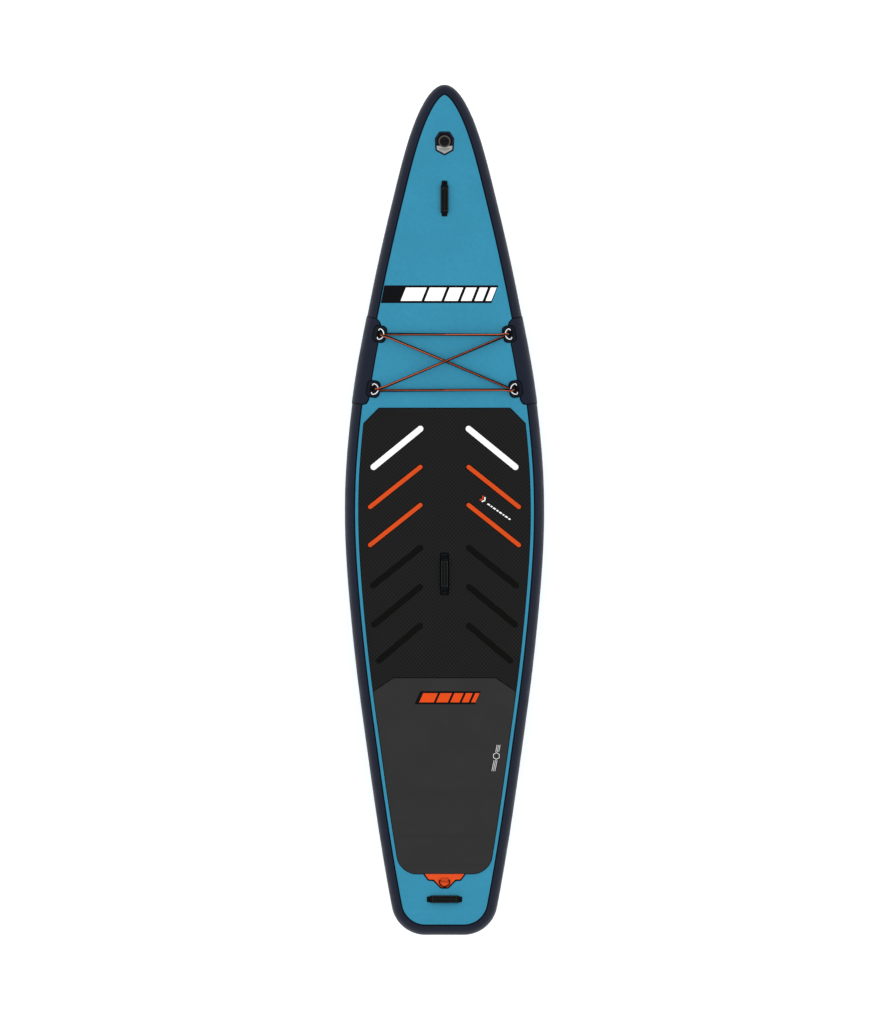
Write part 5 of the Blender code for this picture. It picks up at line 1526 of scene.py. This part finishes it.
def make_hexagon(paints, centre):
    """A small plain hexagon between two groups of thin bars, all leaning the same way, on the tail pad."""
    outer, inner, count, lean = 0.0150, 0.0124, 6, 0.20
    angles = np.radians(np.arange(count) * 60 + 30)
    ring = [(r * math.cos(a), r * math.sin(a)) for r in (outer, inner) for a in angles]
    plan = [(centre[0] + x, centre[1] + y) for x, y in ring]
    faces = [(k, (k + 1) % count, (k + 1) % count + count, k + count) for k in range(count)]
    low, ink = PAD_TOP + 0.00002, paints["ink_pale"]
    ink_layer("pad_hexagon", plan, faces, low, 0.00015, ink, "pad_tail")
    groups = (("above", 0.0450, 0.0168), ("below", -0.0168, -0.0620))
    for group, first, last in groups:
        for number, x in enumerate((-0.0062, 0.0, 0.0062), 1):
            start = (centre[0] + x + lean * first, centre[1] + first)
            end = (centre[0] + x + lean * last, centre[1] + last)
            ink_strip(f"pad_hexagon_{group}_{number}", start, end, ink, "pad_tail",
                      half_depth=0.0010, slant=0.0, height=low, thickness=0.00015)


# ---------------------------------------------------------------- hard parts that keep the CAD's shapes
CAD_PAINTS = {
    "air_chamber": "chamber",
    "drop_stitch_yarns": "yarns",
    "valve_cap_gasket": "gasket",
    "fin_patch": "patch_navy",
}
REFINED = (
    ("valve_body", "valve", 0.0003, "valve_plastic"),
    ("valve_nut", "valve", 0.0004, "valve_plastic"),
    ("valve_stem", "valve_dark", 0.0003, "valve_dark"),
    ("fin_box", "fin_box", 0.0008, "fin_plastic"),
    ("centre_fin", "fin", 0.0004, "fin_plastic"),
    ("fin_pin", "brass", 0.0003, "brass"),
    ("fin_nut_plate", "brass", 0.0003, "brass"),
    ("fin_screw", "steel", 0.0002, "ring_steel"),
)


def dress_cad_nodes(paints):
    for name, paint in CAD_PAINTS.items():
        node = frame["nodes"][name]
        node.data.materials.clear()
        node.data.materials.append(paints[paint])
    for name, paint, width, slot in REFINED:
        refine(name, paints[paint], width, slot)


def refine(name, paint, width, slot):
    """A copy of a hard CAD part with small rounds on its edges, in place of the part."""
    node = frame["nodes"][name]
    made = bmesh.new()
    made.from_mesh(node.data)
    made.transform(node.matrix_world)
    bmesh.ops.remove_doubles(made, verts=made.verts, dist=2e-5)
    bmesh.ops.dissolve_limit(made, angle_limit=math.radians(0.5), verts=made.verts, edges=made.edges)
    sharp = [e for e in made.edges if len(e.link_faces) == 2 and e.calc_face_angle(0.0) > math.radians(40)]
    bmesh.ops.bevel(made, geom=sharp, offset=width, segments=2, affect="EDGES", clamp_overlap=True)
    piece(name + "_fine", *taken_out(made), paint, body_of(node)[0], slot, [name], 40)


# ---------------------------------------------------------------- camera, floor and light
def make_camera():
    """Straight down on the board, nose up, without perspective."""
    data = bpy.data.cameras.new("camera")
    data.type = "ORTHO"
    board_share = 0.8336275  # of the picture's height
    data.ortho_scale = LENGTH / board_share
    data.clip_end = 60
    camera = put_in_scene("camera", data)
    camera.location = (0.002, -0.001, 8.0)
    bpy.context.scene.camera = camera


def make_floor():
    """White ground just under the fin, lit a little from within as a light table is."""
    size, z = 60.0, cad_low.z - 0.001
    mesh = bpy.data.meshes.new("floor")
    corners = [(sx * size, sy * size, z) for sx, sy in ((-1, -1), (1, -1), (1, 1), (-1, 1))]
    mesh.from_pydata(corners, [], [(0, 1, 2, 3)])
    g = Graph("floor", (246, 246, 247), 0.9, shine=0.1)
    g.shader.inputs["Emission Color"].default_value = (1.0, 1.0, 1.0, 1.0)
    g.shader.inputs["Emission Strength"].default_value = 0.27
    mesh.materials.append(g.done())
    put_in_scene("floor", mesh)


def add_softbox(name, place, size, watts, glossy=True):
    """A rectangular light aimed at the board's middle."""
    data = bpy.data.lights.new(name, "AREA")
    data.shape, data.size, data.size_y, data.energy = "RECTANGLE", size[0], size[1], watts
    light = put_in_scene(name, data)
    light.location = place
    light.rotation_euler = (-Vector(place)).to_track_quat("-Z", "Y").to_euler()
    light.visible_glossy = glossy
    light.visible_camera = False


def make_light():
    """Even light from above, with no glare on the flat deck, and two weak softboxes for the gloss."""
    world = bpy.data.worlds.new("studio")
    world.use_nodes = True
    background = world.node_tree.nodes["Background"]
    background.inputs["Color"].default_value = (1.0, 1.0, 1.0, 1.0)
    background.inputs["Strength"].default_value = 1.0
    bpy.context.scene.world = world
    add_softbox("overhead", (0, 0, 6.0), size=(9, 9), watts=190, glossy=False)
    add_softbox("key", (-5.0, 3.0, 4.0), size=(3, 4), watts=30)
    add_softbox("fill", (5.0, -2.0, 4.0), size=(3, 4), watts=20)
    bpy.context.scene.view_settings.view_transform = "Standard"


make_camera()
make_floor()
make_light()
paints = make_paints()
make_skins(paints)
make_rails(paints)
make_seam_tapes(paints)
make_rail_wraps(paints)
make_pads(paints)
make_bungee_fittings(paints)
make_bungee(paints)
make_leash_point(paints)
for handle_name, handle_spec in HANDLES.items():
    make_handle(handle_name, handle_spec, paints)
make_valve(paints)
make_graphics(paints)
dress_cad_nodes(paints)
